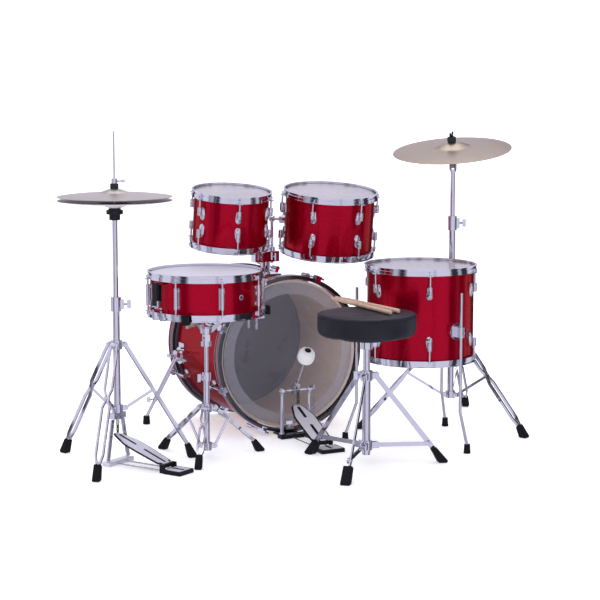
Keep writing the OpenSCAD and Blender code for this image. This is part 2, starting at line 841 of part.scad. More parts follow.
// A cymbal with its edge at z = 0: a bow up to the bell, then the bell's dome.
module cymbal(r, bell_r, bow, bell, hole) {
    t = 1.2;
    rim = [for (i = [0 : 8]) let (x = r - (r - bell_r) * i / 8)
        [x, bow * (1 - pow((x - bell_r) / (r - bell_r), 2))]];
    dome = [for (i = [1 : 8]) let (x = bell_r - (bell_r - hole) * i / 8)
        [x, bow + bell * cos(90 * (x - hole) / (bell_r - hole))]];
    top = concat(rim, dome);
    low = [for (i = [len(top) - 1 : -1 : 0]) top[i] - [0, t]];
    rotate_extrude($fn = 128) polygon(concat(top, low));
}

module hihat_bottom_cymbal() {
    color(brass) hihat_place() translate([0, 0, hat_edge - hat_gap]) mirror([0, 0, 1])
        cymbal(hat_d / 2, 50, 10, hat_rise - 10, 7);
}

module hihat_top_cymbal() {
    color(brass) hihat_place() translate([0, 0, hat_edge])
        cymbal(hat_d / 2, 50, 10, hat_rise - 10, 7);
}

// Clutch: sleeve on the pull rod, felts either side of the cymbal, nuts and a wing screw.
module hihat_clutch() {
    top = hat_edge + hat_rise;
    color(chrome) hihat_place() {
        difference() {
            union() {
                translate([0, 0, top - 14]) cylinder(r = 6, h = 44);
                translate([0, 0, top - 14]) cylinder(r = 9, h = 5);
                translate([0, 0, top + 16]) cylinder(r = 9, h = 16);
            }
            translate([0, 0, top - 20]) cylinder(r = rod_r + run, h = 60);
        }
        rotate([0, 0, -27]) translate([9.3, 0, top + 24]) rod([0, 0, 0], [8, 0, 0], 3);
        rotate([0, 0, -27]) block([14, 4, 10], [26, 0, top + 24]);
    }
    color(black) hihat_place() {
        translate([0, 0, top - 8.7]) ring(12, 6.3, 7);
        translate([0, 0, top + 0.3]) ring(13, 6.3, 15.4);
    }
}

// Pull rod up through the stand, with the chain down to the board on its lower end.
module hihat_pull_rod() {
    color(chrome) hihat_place() {
        translate([0, 0, 138]) cylinder(r = rod_r, h = 910);
        translate([0, 0, 128]) cylinder(r = 6, h = 12);
        rotate([0, 0, hihat_turn]) translate([-7, -2.5, 98]) cube([14, 5, 31]);
    }
}

module hihat_footboard() {
    color(chrome) hihat_place() rotate([0, 0, hihat_turn])
        pedal_board(hihat_hinge_y, hihat_toe, 32, 38, 18);
}

// ---------- crash cymbal stand ----------

crash_hub_z = 335;
crash_collar_z = 106;
crash_joint = 0.449;
tilter_z = 905;
tilt_way = 219;

module crash_place() {
    translate([crash_at[0], crash_at[1], 0]) children();
}

module crash_base_tube() {
    color(chrome) crash_place() {
        base_tube(93, 732, 11, 8, 683, -27);
        brace_collar(crash_collar_z, 11, crash_legs);
    }
}

module crash_hub() {
    color(chrome) crash_place() leg_hub(crash_hub_z, 11, crash_legs, 28);
}

module crash_leg(a) {
    color(chrome) crash_place() rotate([0, 0, a])
        strip_leg([pivot_r, 0, crash_hub_z], [327, 0, 14], crash_joint, leg_wide, 34, 24, false);
}

module crash_brace(a) {
    color(chrome) crash_place() rotate([0, 0, a])
        brace([pivot_r, 0, crash_collar_z],
            on_leg([pivot_r, 0, crash_hub_z], [327, 0, 14], crash_joint, 0));
}

module crash_tube() {
    color(chrome) crash_place() {
        translate([0, 0, 500]) cylinder(r = 8, h = tilter_z - 520);
        rotate([0, 0, tilt_way]) {
            translate([0, 0, tilter_z - 20]) cylinder(r = 12, h = 8);
            for (y = [-11, 7]) translate([-8, y, tilter_z - 14]) cube([16, 4, 22]);
            translate([0, 11, tilter_z]) rotate([90, 0, 0]) cylinder(r = pin_r, h = 22);
        }
    }
}

// Stands its children on the tilted cymbal rod, z counted from the tilter's pin.
module crash_tilt_place() {
    crash_place() translate([0, 0, tilter_z]) rotate([0, 0, tilt_way])
        rotate([0, crash_tilt, 0]) children();
}

crash_bell_top = 84;

module crash_tilter() {
    color(chrome) crash_tilt_place() {
        difference() {
            union() {
                translate([0, 6.7, 0]) rotate([90, 0, 0]) cylinder(r = 8, h = 13.4);
                cylinder(r = 5, h = 45);
                translate([0, 0, 40]) cylinder(r = 12, h = 4);
                cylinder(r = 4, h = 114);
            }
            translate([0, 20, 0]) rotate([90, 0, 0]) cylinder(r = pin_r + run, h = 40);
        }
        translate([0, 0, crash_bell_top + 18.5]) ring(7, 4.3, 8);
        translate([0, 0, crash_bell_top + 22]) for (x = [-18, 7.3]) translate([x, -2, 0])
            cube([10.7, 4, 12]);
    }
    color(black) crash_tilt_place() {
        translate([0, 0, 44.3]) ring(14, 5.3, crash_bell_top - 46.5);
        translate([0, 0, crash_bell_top + 0.4]) ring(15, 4.3, 17.5);
    }
}

module crash_cymbal() {
    color(brass) crash_tilt_place() translate([0, 0, crash_bell_top - 29])
        cymbal(crash_d / 2, 62, 12, 17, 5.3);
}

// ---------- bass drum pedal ----------

axle_z = 163;
axle_r = 5;
post_x = 51;
pedal_hinge_y = -202;
pedal_toe = [-4, 112];
cam_r = 17;
beater_lean = 32;
beater_reach = 150;

module pedal_place() {
    translate([pedal_at[0], pedal_at[1], 0]) children();
}

// Jaws on the drum's hoop, posts with the axle's bearings, return spring and heel plate.
module pedal_base() {
    color(black) pedal_place() {
        translate([-60, -16, 0]) cube([120, 32, 14]);
        translate([-40, 15, 0]) cube([80, 78, jaw_t]);
        translate([-14, 40, 0]) cube([28, 15, 19]);
        translate([-14, 40, 19.4]) cube([28, 34, 8]);
        wing_screw([0, 48, 27.7], [0, 48, 36], 4, 12);
        heel_plate(pedal_hinge_y, -14, 84);
    }
    color(chrome) pedal_place() {
        for (x = [-post_x, post_x]) difference() {
            union() {
                translate([x, 0, 14]) cylinder(r = 6, h = axle_z - 14);
                translate([x - 8, 0, axle_z]) rotate([0, 90, 0]) cylinder(r = 11, h = 16);
            }
            translate([x - 20, 0, axle_z]) rotate([0, 90, 0]) cylinder(r = axle_r + run, h = 40);
        }
        translate([post_x + 17, 0, 60]) cylinder(r = 5, h = 72);
        translate([post_x + 5, -4, 50]) cube([16, 8, 9.6]);
    }
}

module pedal_footboard() {
    color(chrome) pedal_place() pedal_board(pedal_hinge_y, pedal_toe, 38, 40, 24);
}

// Axle, cam, beater rod and round head, which turn together.
module pedal_beater() {
    color(chrome) pedal_place() translate([0, 0, axle_z]) {
        translate([-post_x - 12, 0, 0]) rotate([0, 90, 0]) cylinder(r = axle_r, h = 2 * post_x + 33);
        translate([-11, 0, 0]) rotate([0, 90, 0]) cylinder(r = cam_r, h = 22);
        translate([post_x + 12, -5, -14]) cube([10, 10, 14]);
        rotate([beater_lean, 0, 0]) {
            translate([-9, -9, 8]) cube([18, 18, 24]);
            cylinder(r = 3, h = beater_reach);
            translate([0, 0, beater_reach - 24]) cylinder(r = 23, h = 48);
            translate([0, 0, beater_reach - 18]) cylinder(r = 28.5, h = 36);
            translate([0, 0, beater_reach]) cylinder(r = 9, h = 29);
        }
    }
}

// Chain from the cam down to the board's toe.
module pedal_chain() {
    y = -cam_r - 5.5;
    color(black) pedal_place() translate([-7, y, 113]) cube([14, 5, axle_z - 113]);
}

// ---------- throne ----------

throne_p = [30, 0, 290];
throne_f = [247, 0, 14];
throne_low_z = 69;

module throne_place() {
    translate([throne_at[0], throne_at[1], 0]) children();
}

// Flat leg and flat brace side by side, riveted near the foot.
module throne_leg() {
    joint = on_leg(throne_p, throne_f, 0.82, 0);
    full = norm(throne_f - throne_p);
    e = on_leg(throne_p, throne_f, (full - 44.5) / full, 3.5);
    difference() {
        union() {
            bar(throne_p + [0, 3.5, 0], e, 16, 5);
            translate(throne_p + [0, 6, 0]) rotate([90, 0, 0]) cylinder(r = 9.5, h = 5.2);
            translate(joint + [0, 9, 0]) rotate([90, 0, 0]) cylinder(r = pin_r, h = 18);
        }
        translate(throne_p + [0, 20, 0]) rotate([90, 0, 0]) cylinder(r = pin_r + run, h = 40);
    }
    difference() {
        union() {
            bar([throne_p[0], -3.5, throne_low_z], joint + [0, -3.5, 0], 13, 5);
            for (q = [[throne_p[0], -0.8, throne_low_z], joint + [0, -0.8, 0]])
                translate(q) rotate([90, 0, 0]) cylinder(r = 8.4, h = 5.4);
        }
        for (q = [[throne_p[0], 20, throne_low_z], joint + [0, 20, 0]])
            translate(q) rotate([90, 0, 0]) cylinder(r = pin_r + run, h = 40);
    }
    foot(throne_p, throne_f, 252, 44, 30);
}

module throne_hub(z) {
    difference() {
        union() {
            translate([0, 0, z - 15]) cylinder(r = 19, h = 30);
            for (a = throne_legs) rotate([0, 0, a]) {
                for (y = [-10.5, 6.5]) translate([13, y, z - 10]) cube([26, 4, 20]);
                translate([throne_p[0], 10.5, z]) rotate([90, 0, 0]) cylinder(r = pin_r, h = 21);
            }
        }
        translate([0, 0, z - 20]) cylinder(r = 13 + run, h = 40);
    }
}

module throne_base() {
    color(chrome) throne_place() {
        translate([0, 0, 39]) ring(13, 11 + run, 268);
        throne_hub(throne_p[2]);
        throne_hub(throne_low_z);
        rotate([0, 0, 150]) wing_screw([19.3, 0, 290], [28, 0, 290], 4, 13);
        for (a = throne_legs) rotate([0, 0, a]) throne_leg();
    }
}

module throne_post() {
    color(chrome) throne_place() translate([0, 0, 80]) cylinder(r = 11, h = seat_z - 82);
}

// Cushion with rounded rims on its board, and the socket that clamps the post.
module throne_seat() {
    r = seat_d / 2;
    round = 16;
    color(black) throne_place() translate([0, 0, seat_z + 12]) {
        cylinder(r = r - round, h = seat_t);
        translate([0, 0, round]) cylinder(r = r, h = seat_t - 2 * round);
        for (z = [round, seat_t - round]) translate([0, 0, z]) rotate_extrude($fn = 96)
            translate([r - round, 0]) circle(r = round);
        translate([0, 0, -12]) cylinder(r = r - 75, h = 12);
    }
    color(chrome) throne_place() difference() {
        union() {
            translate([0, 0, seat_z - 32]) cylinder(r = 19, h = 32 - gap);
            translate([-45, -30, seat_z - 4]) cube([90, 60, 4 - gap]);
            translate([17, -8, seat_z - 26]) cube([16, 16, 18]);
        }
        translate([0, 0, seat_z - 40]) cylinder(r = 11 + run, h = 40);
    }
}

// ---------- drumsticks on the seat ----------

stick_r = 7;

module stick(butt, tip) {
    v = tip - butt;
    along(butt, tip) {
        cylinder(r = stick_r, h = norm(v) - 75);
        translate([0, 0, norm(v) - 75]) cylinder(r1 = stick_r, r2 = 3.2, h = 66);
        translate([0, 0, norm(v) - 9]) sphere(r = 5);
    }
}

module drumsticks() {
    z = seat_z + 12 + seat_t + stick_r + gap;
    color([0.8, 0.62, 0.42]) throne_place() {
        stick([35, -88, z], [31, 298, z]);
        stick([73, -71, z], [51, 309, z]);
    }
}

bass_shell();
bass_hoops();
bass_batter_head();
bass_front_head();
bass_lugs_and_claws();
spur_brackets();
spur_left();
spur_right();
tom_holder();
tom1_shell();
tom1_hoops();
tom1_heads();
tom1_lugs();
tom1_arm();
tom2_shell();
tom2_hoops();
tom2_heads();
tom2_lugs();
tom2_arm();
floor_tom_shell();
floor_tom_hoops();
floor_tom_heads();
floor_tom_lugs();
floor_tom_legs();
snare_shell();
snare_hoops();
snare_heads();
snare_lugs();
snare_strainer();
snare_lever();
snare_wires();
snare_stand_base();
snare_stand_tube();
snare_basket();
hihat_base();
hihat_tube();
hihat_bottom_cymbal();
hihat_top_cymbal();
hihat_clutch();
hihat_pull_rod();
hihat_footboard();
crash_base_tube();
crash_hub();
crash_leg(crash_legs[0]);  // crash_leg_1
crash_leg(crash_legs[1]);  // crash_leg_2
crash_leg(crash_legs[2]);  // crash_leg_3
crash_brace(crash_legs[0]);  // crash_brace_1
crash_brace(crash_legs[1]);  // crash_brace_2
crash_brace(crash_legs[2]);  // crash_brace_3
crash_tube();
crash_tilter();
crash_cymbal();
pedal_base();
pedal_footboard();
pedal_beater();
pedal_chain();
throne_base();
throne_post();
throne_seat();
drumsticks();
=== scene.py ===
"""Looks of a five-piece acoustic drum kit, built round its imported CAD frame. Metres, +Z up."""
import json
import math

import bmesh
import bpy
from mathutils import Matrix, Vector

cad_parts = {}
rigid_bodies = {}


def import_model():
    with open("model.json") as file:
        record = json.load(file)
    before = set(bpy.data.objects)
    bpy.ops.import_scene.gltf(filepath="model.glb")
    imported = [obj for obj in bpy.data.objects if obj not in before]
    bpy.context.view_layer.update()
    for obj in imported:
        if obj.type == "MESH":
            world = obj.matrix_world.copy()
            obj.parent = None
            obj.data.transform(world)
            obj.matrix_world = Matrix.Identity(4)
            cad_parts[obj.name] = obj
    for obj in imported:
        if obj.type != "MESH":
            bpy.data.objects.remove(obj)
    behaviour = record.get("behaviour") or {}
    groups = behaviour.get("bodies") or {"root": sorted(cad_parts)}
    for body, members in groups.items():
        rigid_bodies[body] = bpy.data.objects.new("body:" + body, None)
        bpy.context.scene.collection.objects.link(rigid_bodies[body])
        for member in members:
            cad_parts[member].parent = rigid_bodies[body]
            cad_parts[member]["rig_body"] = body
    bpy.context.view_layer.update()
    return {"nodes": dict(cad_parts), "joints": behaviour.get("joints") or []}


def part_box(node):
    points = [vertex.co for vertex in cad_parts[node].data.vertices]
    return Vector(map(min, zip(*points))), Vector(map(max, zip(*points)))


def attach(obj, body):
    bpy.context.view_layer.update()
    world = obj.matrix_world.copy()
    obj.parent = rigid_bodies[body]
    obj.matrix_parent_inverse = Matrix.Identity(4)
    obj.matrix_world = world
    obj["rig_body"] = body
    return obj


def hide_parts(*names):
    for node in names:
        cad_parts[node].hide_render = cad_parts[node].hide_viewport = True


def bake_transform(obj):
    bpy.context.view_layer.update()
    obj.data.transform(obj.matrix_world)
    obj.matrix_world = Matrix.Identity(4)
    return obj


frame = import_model()
SCENE = bpy.context.scene
JOINTS = {j["name"]: j for j in frame["joints"]}
UP = Vector((0, 0, 1))
MM = 0.001
SHARP = math.radians(35)


def joint_at(name):
    return Vector(JOINTS[name]["pos_m"])


def joint_axis(name):
    return Vector(JOINTS[name]["axis"]).normalized()


# ---------- camera, light and floor ----------

CAMERA_AT = Vector((-2.584, -5.090, 1.255))
CAMERA_HEADING = Vector((0.4507, 0.8927, 0))
CAMERA_DOWN = math.radians(7.72)
CAMERA_LENS = 104.76
WORLD_DARK = (0.035, 0.035, 0.045)
WORLD_LIGHT = (0.72, 0.71, 0.86)
WORLD_BELOW = (0.42, 0.41, 0.49, 1)
WORLD_SHIFT = (0.3, 0.9, 0.0)
BAND_STRETCH = (1.0, 1.0, 0.35)
BAND_SCALE = 2.3
BAND_EDGE = (0.40, 0.52)
BELOW_SPAN = (-0.25, -0.6)
FLOOR_GLOW = 0.42
WALL_GLOW = 1.0
WALL_AT = 14.0
SHEET_SIZE = 30
KEY_W = 60
FILL_W = 30
TOP_W = 60


def make_camera():
    data = bpy.data.cameras.new("camera")
    data.lens = CAMERA_LENS
    data.sensor_width = 36
    data.clip_end = 100
    camera = bpy.data.objects.new("camera", data)
    SCENE.collection.objects.link(camera)
    camera.location = CAMERA_AT
    look = CAMERA_HEADING.normalized() * math.cos(CAMERA_DOWN) - UP * math.sin(CAMERA_DOWN)
    camera.rotation_euler = look.to_track_quat("-Z", "Y").to_euler()
    SCENE.camera = camera


def area_light(name, at, aim, size, power):
    data = bpy.data.lights.new(name, "AREA")
    data.shape = "RECTANGLE"
    data.size, data.size_y = size
    data.energy = power
    light = bpy.data.objects.new(name, data)
    light.location = at
    light.rotation_euler = (Vector(aim) - Vector(at)).to_track_quat("-Z", "Y").to_euler()
    SCENE.collection.objects.link(light)
    return light


def make_surroundings():
    """Light bands and dark gaps all round, which polished metal and wrap show as streaks."""
    world = bpy.data.worlds.new("studio")
    world.use_nodes = True
    background = world.node_tree.nodes["Background"]
    background.inputs["Strength"].default_value = 1.0
    coords = add(world, "ShaderNodeTexCoord")
    stretch = add(world, "ShaderNodeMapping", Location=WORLD_SHIFT, Scale=BAND_STRETCH)
    bands = add(world, "ShaderNodeTexNoise", Scale=BAND_SCALE, Detail=0.0)
    tone = add(world, "ShaderNodeValToRGB")
    set_ramp(tone, BAND_EDGE, WORLD_DARK, WORLD_LIGHT)
    parts = add(world, "ShaderNodeSeparateXYZ")
    below = add(world, "ShaderNodeMapRange", From_Min=BELOW_SPAN[0], From_Max=BELOW_SPAN[1])
    blend = add(world, "ShaderNodeMixRGB", Color2=WORLD_BELOW)
    wire(world, coords, "Generated", stretch, "Vector")
    wire(world, stretch, "Vector", bands, "Vector")
    wire(world, bands, 0, tone, "Fac")
    wire(world, coords, "Generated", parts, "Vector")
    wire(world, parts, "Z", below, "Value")
    wire(world, below, "Result", blend, "Fac")
    wire(world, tone, "Color", blend, "Color1")
    wire(world, blend, "Color", background, "Color")
    SCENE.world = world


def pale_plane(name, glow, at, turn=(0, 0, 0)):
    """A large white sheet of the studio that also gives off some light of its own."""
    bm = bmesh.new()
    bmesh.ops.create_grid(bm, x_segments=2, y_segments=2, size=SHEET_SIZE)
    mesh = bpy.data.meshes.new(name)
    bm.to_mesh(mesh)
    bm.free()
    mesh.materials.append(new_material(name, (0.9, 0.9, 0.9), 0.8, Specular_IOR_Level=0.0,
                                       Emission_Color=(1, 1, 1, 1), Emission_Strength=glow))
    sheet = bpy.data.objects.new(name, mesh)
    sheet.location = at
    sheet.rotation_euler = turn
    SCENE.collection.objects.link(sheet)
    sheet.visible_glossy = False


def make_studio():
    SCENE.view_settings.view_transform = "Standard"
    make_surroundings()
    pale_plane("studio_floor", FLOOR_GLOW, (0, 0, -0.0005))
    heading = math.atan2(-CAMERA_HEADING.x, CAMERA_HEADING.y)
    pale_plane("studio_wall", WALL_GLOW, CAMERA_HEADING * WALL_AT, (math.radians(90), 0, heading))
    key = area_light("key", (-3.2, -3.6, 3.4), (0, 0, 0.4), (2.2, 2.2), KEY_W)
    fill = area_light("fill", (3.6, -3.4, 2.2), (0, 0, 0.4), (0.8, 3.0), FILL_W)
    for light in (key, fill):
        light.visible_glossy = False
    area_light("top", (0.2, 0.6, 4.2), (0, 0, 0), (4.0, 4.0), TOP_W)


# ---------- materials ----------

NOISE_SPAN = (0.3, 0.7)
BAND_PITCH = 0.009


def new_material(name, color, roughness, metallic=0.0, **sockets):
    material = bpy.data.materials.new(name)
    material.use_nodes = True
    shader = material.node_tree.nodes["Principled BSDF"]
    shader.inputs["Base Color"].default_value = (*color, 1)
    shader.inputs["Roughness"].default_value = roughness
    shader.inputs["Metallic"].default_value = metallic
    for socket, value in sockets.items():
        shader.inputs[socket.replace("_", " ")].default_value = value
    return material


def add(material, kind, **values):
    """A new node of a material or world; each value goes to the input or the setting it names."""
    node = material.node_tree.nodes.new(kind)
    for key, value in values.items():
        socket = key.replace("_", " ")
        if socket in node.inputs:
            node.inputs[socket].default_value = value
        else:
            setattr(node, key, value)
    return node


def wire(material, a, out, b, into):
    material.node_tree.links.new(a.outputs[out], b.inputs[into])


def shader_of(material):
    return material.node_tree.nodes["Principled BSDF"]


def add_noise(material, scale, detail=4.0, stretch=(1, 1, 1)):
    coords = add(material, "ShaderNodeTexCoord")
    mapping = add(material, "ShaderNodeMapping", Scale=stretch)
    noise = add(material, "ShaderNodeTexNoise", Scale=scale, Detail=detail)
    wire(material, coords, "Object", mapping, "Vector")
    wire(material, mapping, "Vector", noise, "Vector")
    return noise


def set_ramp(ramp, span, dark, light):
    for stop, position, color in zip(ramp.color_ramp.elements, span, (dark, light)):
        stop.position = position
        stop.color = (*color, 1)


def vary_color(material, factor, dark, light):
    """Runs the base colour from dark to light as factor's output goes from low to high."""
    ramp = add(material, "ShaderNodeValToRGB")
    set_ramp(ramp, NOISE_SPAN, dark, light)
    wire(material, factor, 0, ramp, "Fac")
    wire(material, ramp, "Color", shader_of(material), "Base Color")


def vary_roughness(material, factor, low, high):
    spread = add(material, "ShaderNodeMapRange", From_Min=NOISE_SPAN[0], From_Max=NOISE_SPAN[1],
                 To_Min=low, To_Max=high)
    wire(material, factor, 0, spread, "Value")
    wire(material, spread, "Result", shader_of(material), "Roughness")


def add_bump(material, factor, strength, distance):
    bump = add(material, "ShaderNodeBump", Strength=strength, Distance=distance)
    wire(material, factor, 0, bump, "Height")
    last = shader_of(material).inputs["Normal"]
    if last.links:
        earlier = last.links[0].from_node
        wire(material, earlier, "Normal", bump, "Normal")
    wire(material, bump, "Normal", shader_of(material), "Normal")


def plain_finish(name, color, roughness, scale, bump, metallic, spread, **sockets):
    """A finish with a fine grain: colour, roughness and height all follow one noise."""
    material = new_material(name, color, roughness, metallic, **sockets)
    noise = add_noise(material, scale)
    dark = [c * (1 - spread / 2) for c in color]
    light = [min(1, c * (1 + spread / 2)) for c in color]
    vary_color(material, noise, dark, light)
    vary_roughness(material, noise, roughness * 0.8, min(1, roughness * 1.25))
    add_bump(material, noise, 0.25, bump)
    return material


def red_wrap():
    """Sparkling film: fine flakes under a clear gloss."""
    material = new_material("red_wrap", (0.5, 0.0, 0.03), 0.25, 0.8, Coat_Weight=0.15, Coat_Roughness=0.03)
    shader_of(material).inputs["Specular Tint"].default_value = (0.45, 0.0, 0.06, 1)
    flakes = add_noise(material, 900, 2)
    vary_color(material, flakes, (0.36, 0.0, 0.010), (0.58, 0.0002, 0.030))
    vary_roughness(material, flakes, 0.2, 0.3)
    return material


def clear_film(name, color, alpha):
    material = new_material(name, color, 0.1, 0.0)
    haze = add_noise(material, 7, 3)
    vary_roughness(material, haze, 0.06, 0.16)
    shader_of(material).inputs["Alpha"].default_value = alpha
    return material


def drum_film():
    material = new_material("drum_film", (0.5, 0.46, 0.5), 0.22, 0.0, Coat_Weight=0.4, Coat_Roughness=0.08)
    haze = add_noise(material, 9, 3)
    vary_color(material, haze, (0.38, 0.34, 0.375), (0.47, 0.425, 0.46))
    vary_roughness(material, haze, 0.16, 0.3)
    return material


def rings(material, coords, pitch, **values):
    """Rings of the given pitch in metres round the object's own Z."""
    wave = add(material, "ShaderNodeTexWave", wave_type="RINGS", rings_direction="Z",
               Scale=2 * math.pi / (20 * pitch), **values)
    wire(material, coords, "Object", wave, "Vector")
    return wave


def cymbal_finish(name, dark, light, ring_mm, hammer, metallic):
    """Lathed bronze: fine turned grooves, tone bands and hammer marks."""
    material = new_material(name, light, 0.28, metallic)
    coords = add(material, "ShaderNodeTexCoord")
    grooves = rings(material, coords, ring_mm * MM, Distortion=0.4)
    bands = rings(material, coords, BAND_PITCH, Distortion=1.0, Detail=3.0)
    vary_color(material, bands, dark, light)
    vary_roughness(material, bands, 0.34, 0.42)
    add_bump(material, grooves, 0.25, 0.00005)
    marks = add(material, "ShaderNodeTexVoronoi", Scale=40.0)
    wire(material, coords, "Object", marks, "Vector")
    add_bump(material, marks, hammer, 0.0002)
    return material


def vinyl():
    material = new_material("vinyl", (0.010, 0.011, 0.018), 0.42, 0.0, Specular_IOR_Level=0.3)
    coords = add(material, "ShaderNodeTexCoord")
    cells = add(material, "ShaderNodeTexVoronoi", Scale=420.0, feature="DISTANCE_TO_EDGE")
    wire(material, coords, "Object", cells, "Vector")
    add_bump(material, cells, 0.5, 0.0004)
    wear = add_noise(material, 14)
    vary_roughness(material, wear, 0.38, 0.5)
    vary_color(material, wear, (0.007, 0.008, 0.013), (0.014, 0.015, 0.024))
    return material


def wood(name, dark, light, stretch, roughness):
    material = new_material(name, light, roughness, 0.0, Coat_Weight=0.4, Coat_Roughness=0.2)
    grain = add_noise(material, 60, 6, stretch)
    vary_color(material, grain, dark, light)
    vary_roughness(material, grain, roughness * 0.8, roughness * 1.2)
    add_bump(material, grain, 0.2, 0.0003)
    return material


# Key: name, colour, roughness, grains per metre, bump, metallic, spread of the tone.
PLAIN = {
    "chrome": ("chrome", (0.78, 0.78, 0.84), 0.07, 35, 0.00004, 1.0, 0.06),
    "satin": ("satin_metal", (0.6, 0.6, 0.66), 0.3, 260, 0.0001, 1.0, 0.12),
    "black_metal": ("black_metal", (0.010, 0.010, 0.013), 0.34, 300, 0.0002, 0.4, 0.3),
    "lacquer": ("black_lacquer", (0.012, 0.012, 0.015), 0.16, 30, 0.0001, 0.0, 0.3),
    "inlay": ("red_inlay", (0.36, 0.0, 0.03), 0.25, 900, 0.0001, 0.5, 0.4),
    "rubber": ("black_rubber", (0.006, 0.006, 0.008), 0.55, 420, 0.0003, 0.0, 0.4),
    "plastic": ("black_plastic", (0.007, 0.007, 0.010), 0.33, 380, 0.0001, 0.0, 0.3),
    "felt": ("black_felt", (0.03, 0.03, 0.034), 0.95, 700, 0.0009, 0.0, 0.6),
    "white_felt": ("white_felt", (0.8, 0.8, 0.8), 0.9, 600, 0.0012, 0.0, 0.12),
    "coated": ("coated_film", (0.63, 0.62, 0.70), 0.5, 800, 0.0002, 0.0, 0.05),
    "dark_film": ("black_film", (0.07, 0.07, 0.095), 0.3, 12, 0.00003, 0.0, 0.04),
    "steel": ("steel_wire", (0.6, 0.6, 0.63), 0.25, 200, 0.0001, 1.0, 0.1),
    "pale_metal": ("pale_metal", (0.80, 0.80, 0.87), 0.35, 120, 0.0001, 0.35, 0.08),
}
GLOSS = {"Coat_Weight": 1.0, "Coat_Roughness": 0.04}
EXTRAS = {
    "black_metal": {"Specular_IOR_Level": 0.3},
    "plastic": {"Specular_IOR_Level": 0.3},
    "rubber": {"Specular_IOR_Level": 0.2},
    "lacquer": GLOSS,
    "inlay": GLOSS,
}


def make_materials():
    made = {key: plain_finish(*row, **EXTRAS.get(key, {})) for key, row in PLAIN.items()}
    return made | {
        "red": red_wrap(),
        "clear": clear_film("clear_film", (0.5, 0.5, 0.58), 0.12),
        "muffle": clear_film("muffling_film", (0.62, 0.62, 0.70), 0.22),
        "film": drum_film(),
        "hat": cymbal_finish("hat_bronze", (0.52, 0.46, 0.42), (0.62, 0.56, 0.51), 1.6, 0.08, 0.85),
        # The lower hat is the upper hat's bronze painted paler and made less metallic: painted light,
        # lifting the shade that the top cymbal casts on its inner face.
        "low_hat_painted_light": cymbal_finish("lower_hat_bronze_painted_light", (0.72, 0.68, 0.68), (0.82, 0.77, 0.78), 1.6, 0.08, 0.25),
        "crash": cymbal_finish("crash_bronze", (0.44, 0.36, 0.28), (0.54, 0.45, 0.36), 2.0, 0.15, 1.0),
        "vinyl": vinyl(),
        "maple": wood("maple", (0.55, 0.37, 0.25), (0.76, 0.55, 0.40), (1, 0.06, 1), 0.4),
        "ply": wood("shell_ply", (0.80, 0.62, 0.50), (0.95, 0.79, 0.67), (0.2, 1, 0.2), 0.45),
    }


MAT = make_materials()

# ---------- shapes ----------
# A section or outline is open when its first point is on the axis (x = 0), and closed otherwise.

ALONG_X = Matrix.Rotation(math.pi / 2, 4, "Y")


def is_closed(points):
    return points[0][0] != 0


def to_object(name, bm, material, body, matrix=None, smooth=SHARP):
    """Turns bm into a piece that rides on body; its mesh stays in the matrix's own frame."""
    mesh = bpy.data.meshes.new(name)
    bmesh.ops.recalc_face_normals(bm, faces=bm.faces)
    bm.to_mesh(mesh)
    bm.free()
    mesh.shade_smooth()
    mesh.set_sharp_from_angle(angle=smooth)
    mesh.materials.append(MAT[material])
    piece = bpy.data.objects.new(name, mesh)
    SCENE.collection.objects.link(piece)
    if matrix is not None:
        piece.matrix_world = matrix
    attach(piece, body)
    return piece


def bevel(piece, width, segments=2):
    soft = piece.modifiers.new("bevel", "BEVEL")
    soft.width = width
    soft.segments = segments
    soft.limit_method = "ANGLE"
    soft.angle_limit = SHARP


def facing(at, z, x_hint=Vector((1, 0, 0))):
    """A frame at a point with its Z along z and its X as near x_hint as can be."""
    z = Vector(z).normalized()
    if abs(z.dot(x_hint)) > 0.99:
        x_hint = Vector((0, 1, 0))
    y = z.cross(x_hint).normalized()
    x = y.cross(z)
    m = Matrix((x, y, z)).transposed().to_4x4()
    m.translation = Vector(at)
    return m


def fillet(points, radius, steps=4):
    """Rounds the corners of a line of 2D points with short arcs."""
    out = []
    count = len(points)
    closed = is_closed(points)
    for i, point in enumerate(points):
        here = Vector(point)
        if not closed and i in (0, count - 1):
            out.append(here)
            continue
        before = Vector(points[i - 1]) - here
        after = Vector(points[(i + 1) % count]) - here
        reach = min(radius, before.length * 0.48, after.length * 0.48)
        a = here + before.normalized() * reach
        b = here + after.normalized() * reach
        for k in range(steps + 1):
            t = k / steps
            out.append(a * (1 - t) ** 2 + here * (2 * t * (1 - t)) + b * t ** 2)
    return out


def bridge(bm, low, high):
    """A band of faces between two rings of points; one of them may be a single point."""
    count = max(len(low), len(high))
    for k in range(count):
        n = (k + 1) % count
        if len(low) == 1:
            bm.faces.new((low[0], high[n], high[k]))
        elif len(high) == 1:
            bm.faces.new((low[k], low[n], high[0]))
        else:
            bm.faces.new((low[k], low[n], high[n], high[k]))


def enclose(bm, rings):
    """Joins rings of points into a skin and closes both ends."""
    bm.faces.new(rings[0])
    bm.faces.new(rings[-1])
    for low, high in zip(rings, rings[1:]):
        bridge(bm, low, high)


def lathe(profile, steps, bm=None, matrix=None):
    """Turns (radius, height) points round Z. A closed profile makes a ring, an open one a solid."""
    bm = bm or bmesh.new()
    matrix = matrix or Matrix.Identity(4)
    rings = []
    for radius, height in profile:
        if radius < 1e-6:
            rings.append([bm.verts.new(matrix @ Vector((0, 0, height)))])
            continue
        turn = [2 * math.pi * k / steps for k in range(steps)]
        rings.append([bm.verts.new(matrix @ Vector((radius * math.cos(a), radius * math.sin(a), height)))
                      for a in turn])
    after = rings[1:] + rings[:1] if is_closed(profile) else rings[1:]
    for low, high in zip(rings, after):
        bridge(bm, low, high)
    return bm


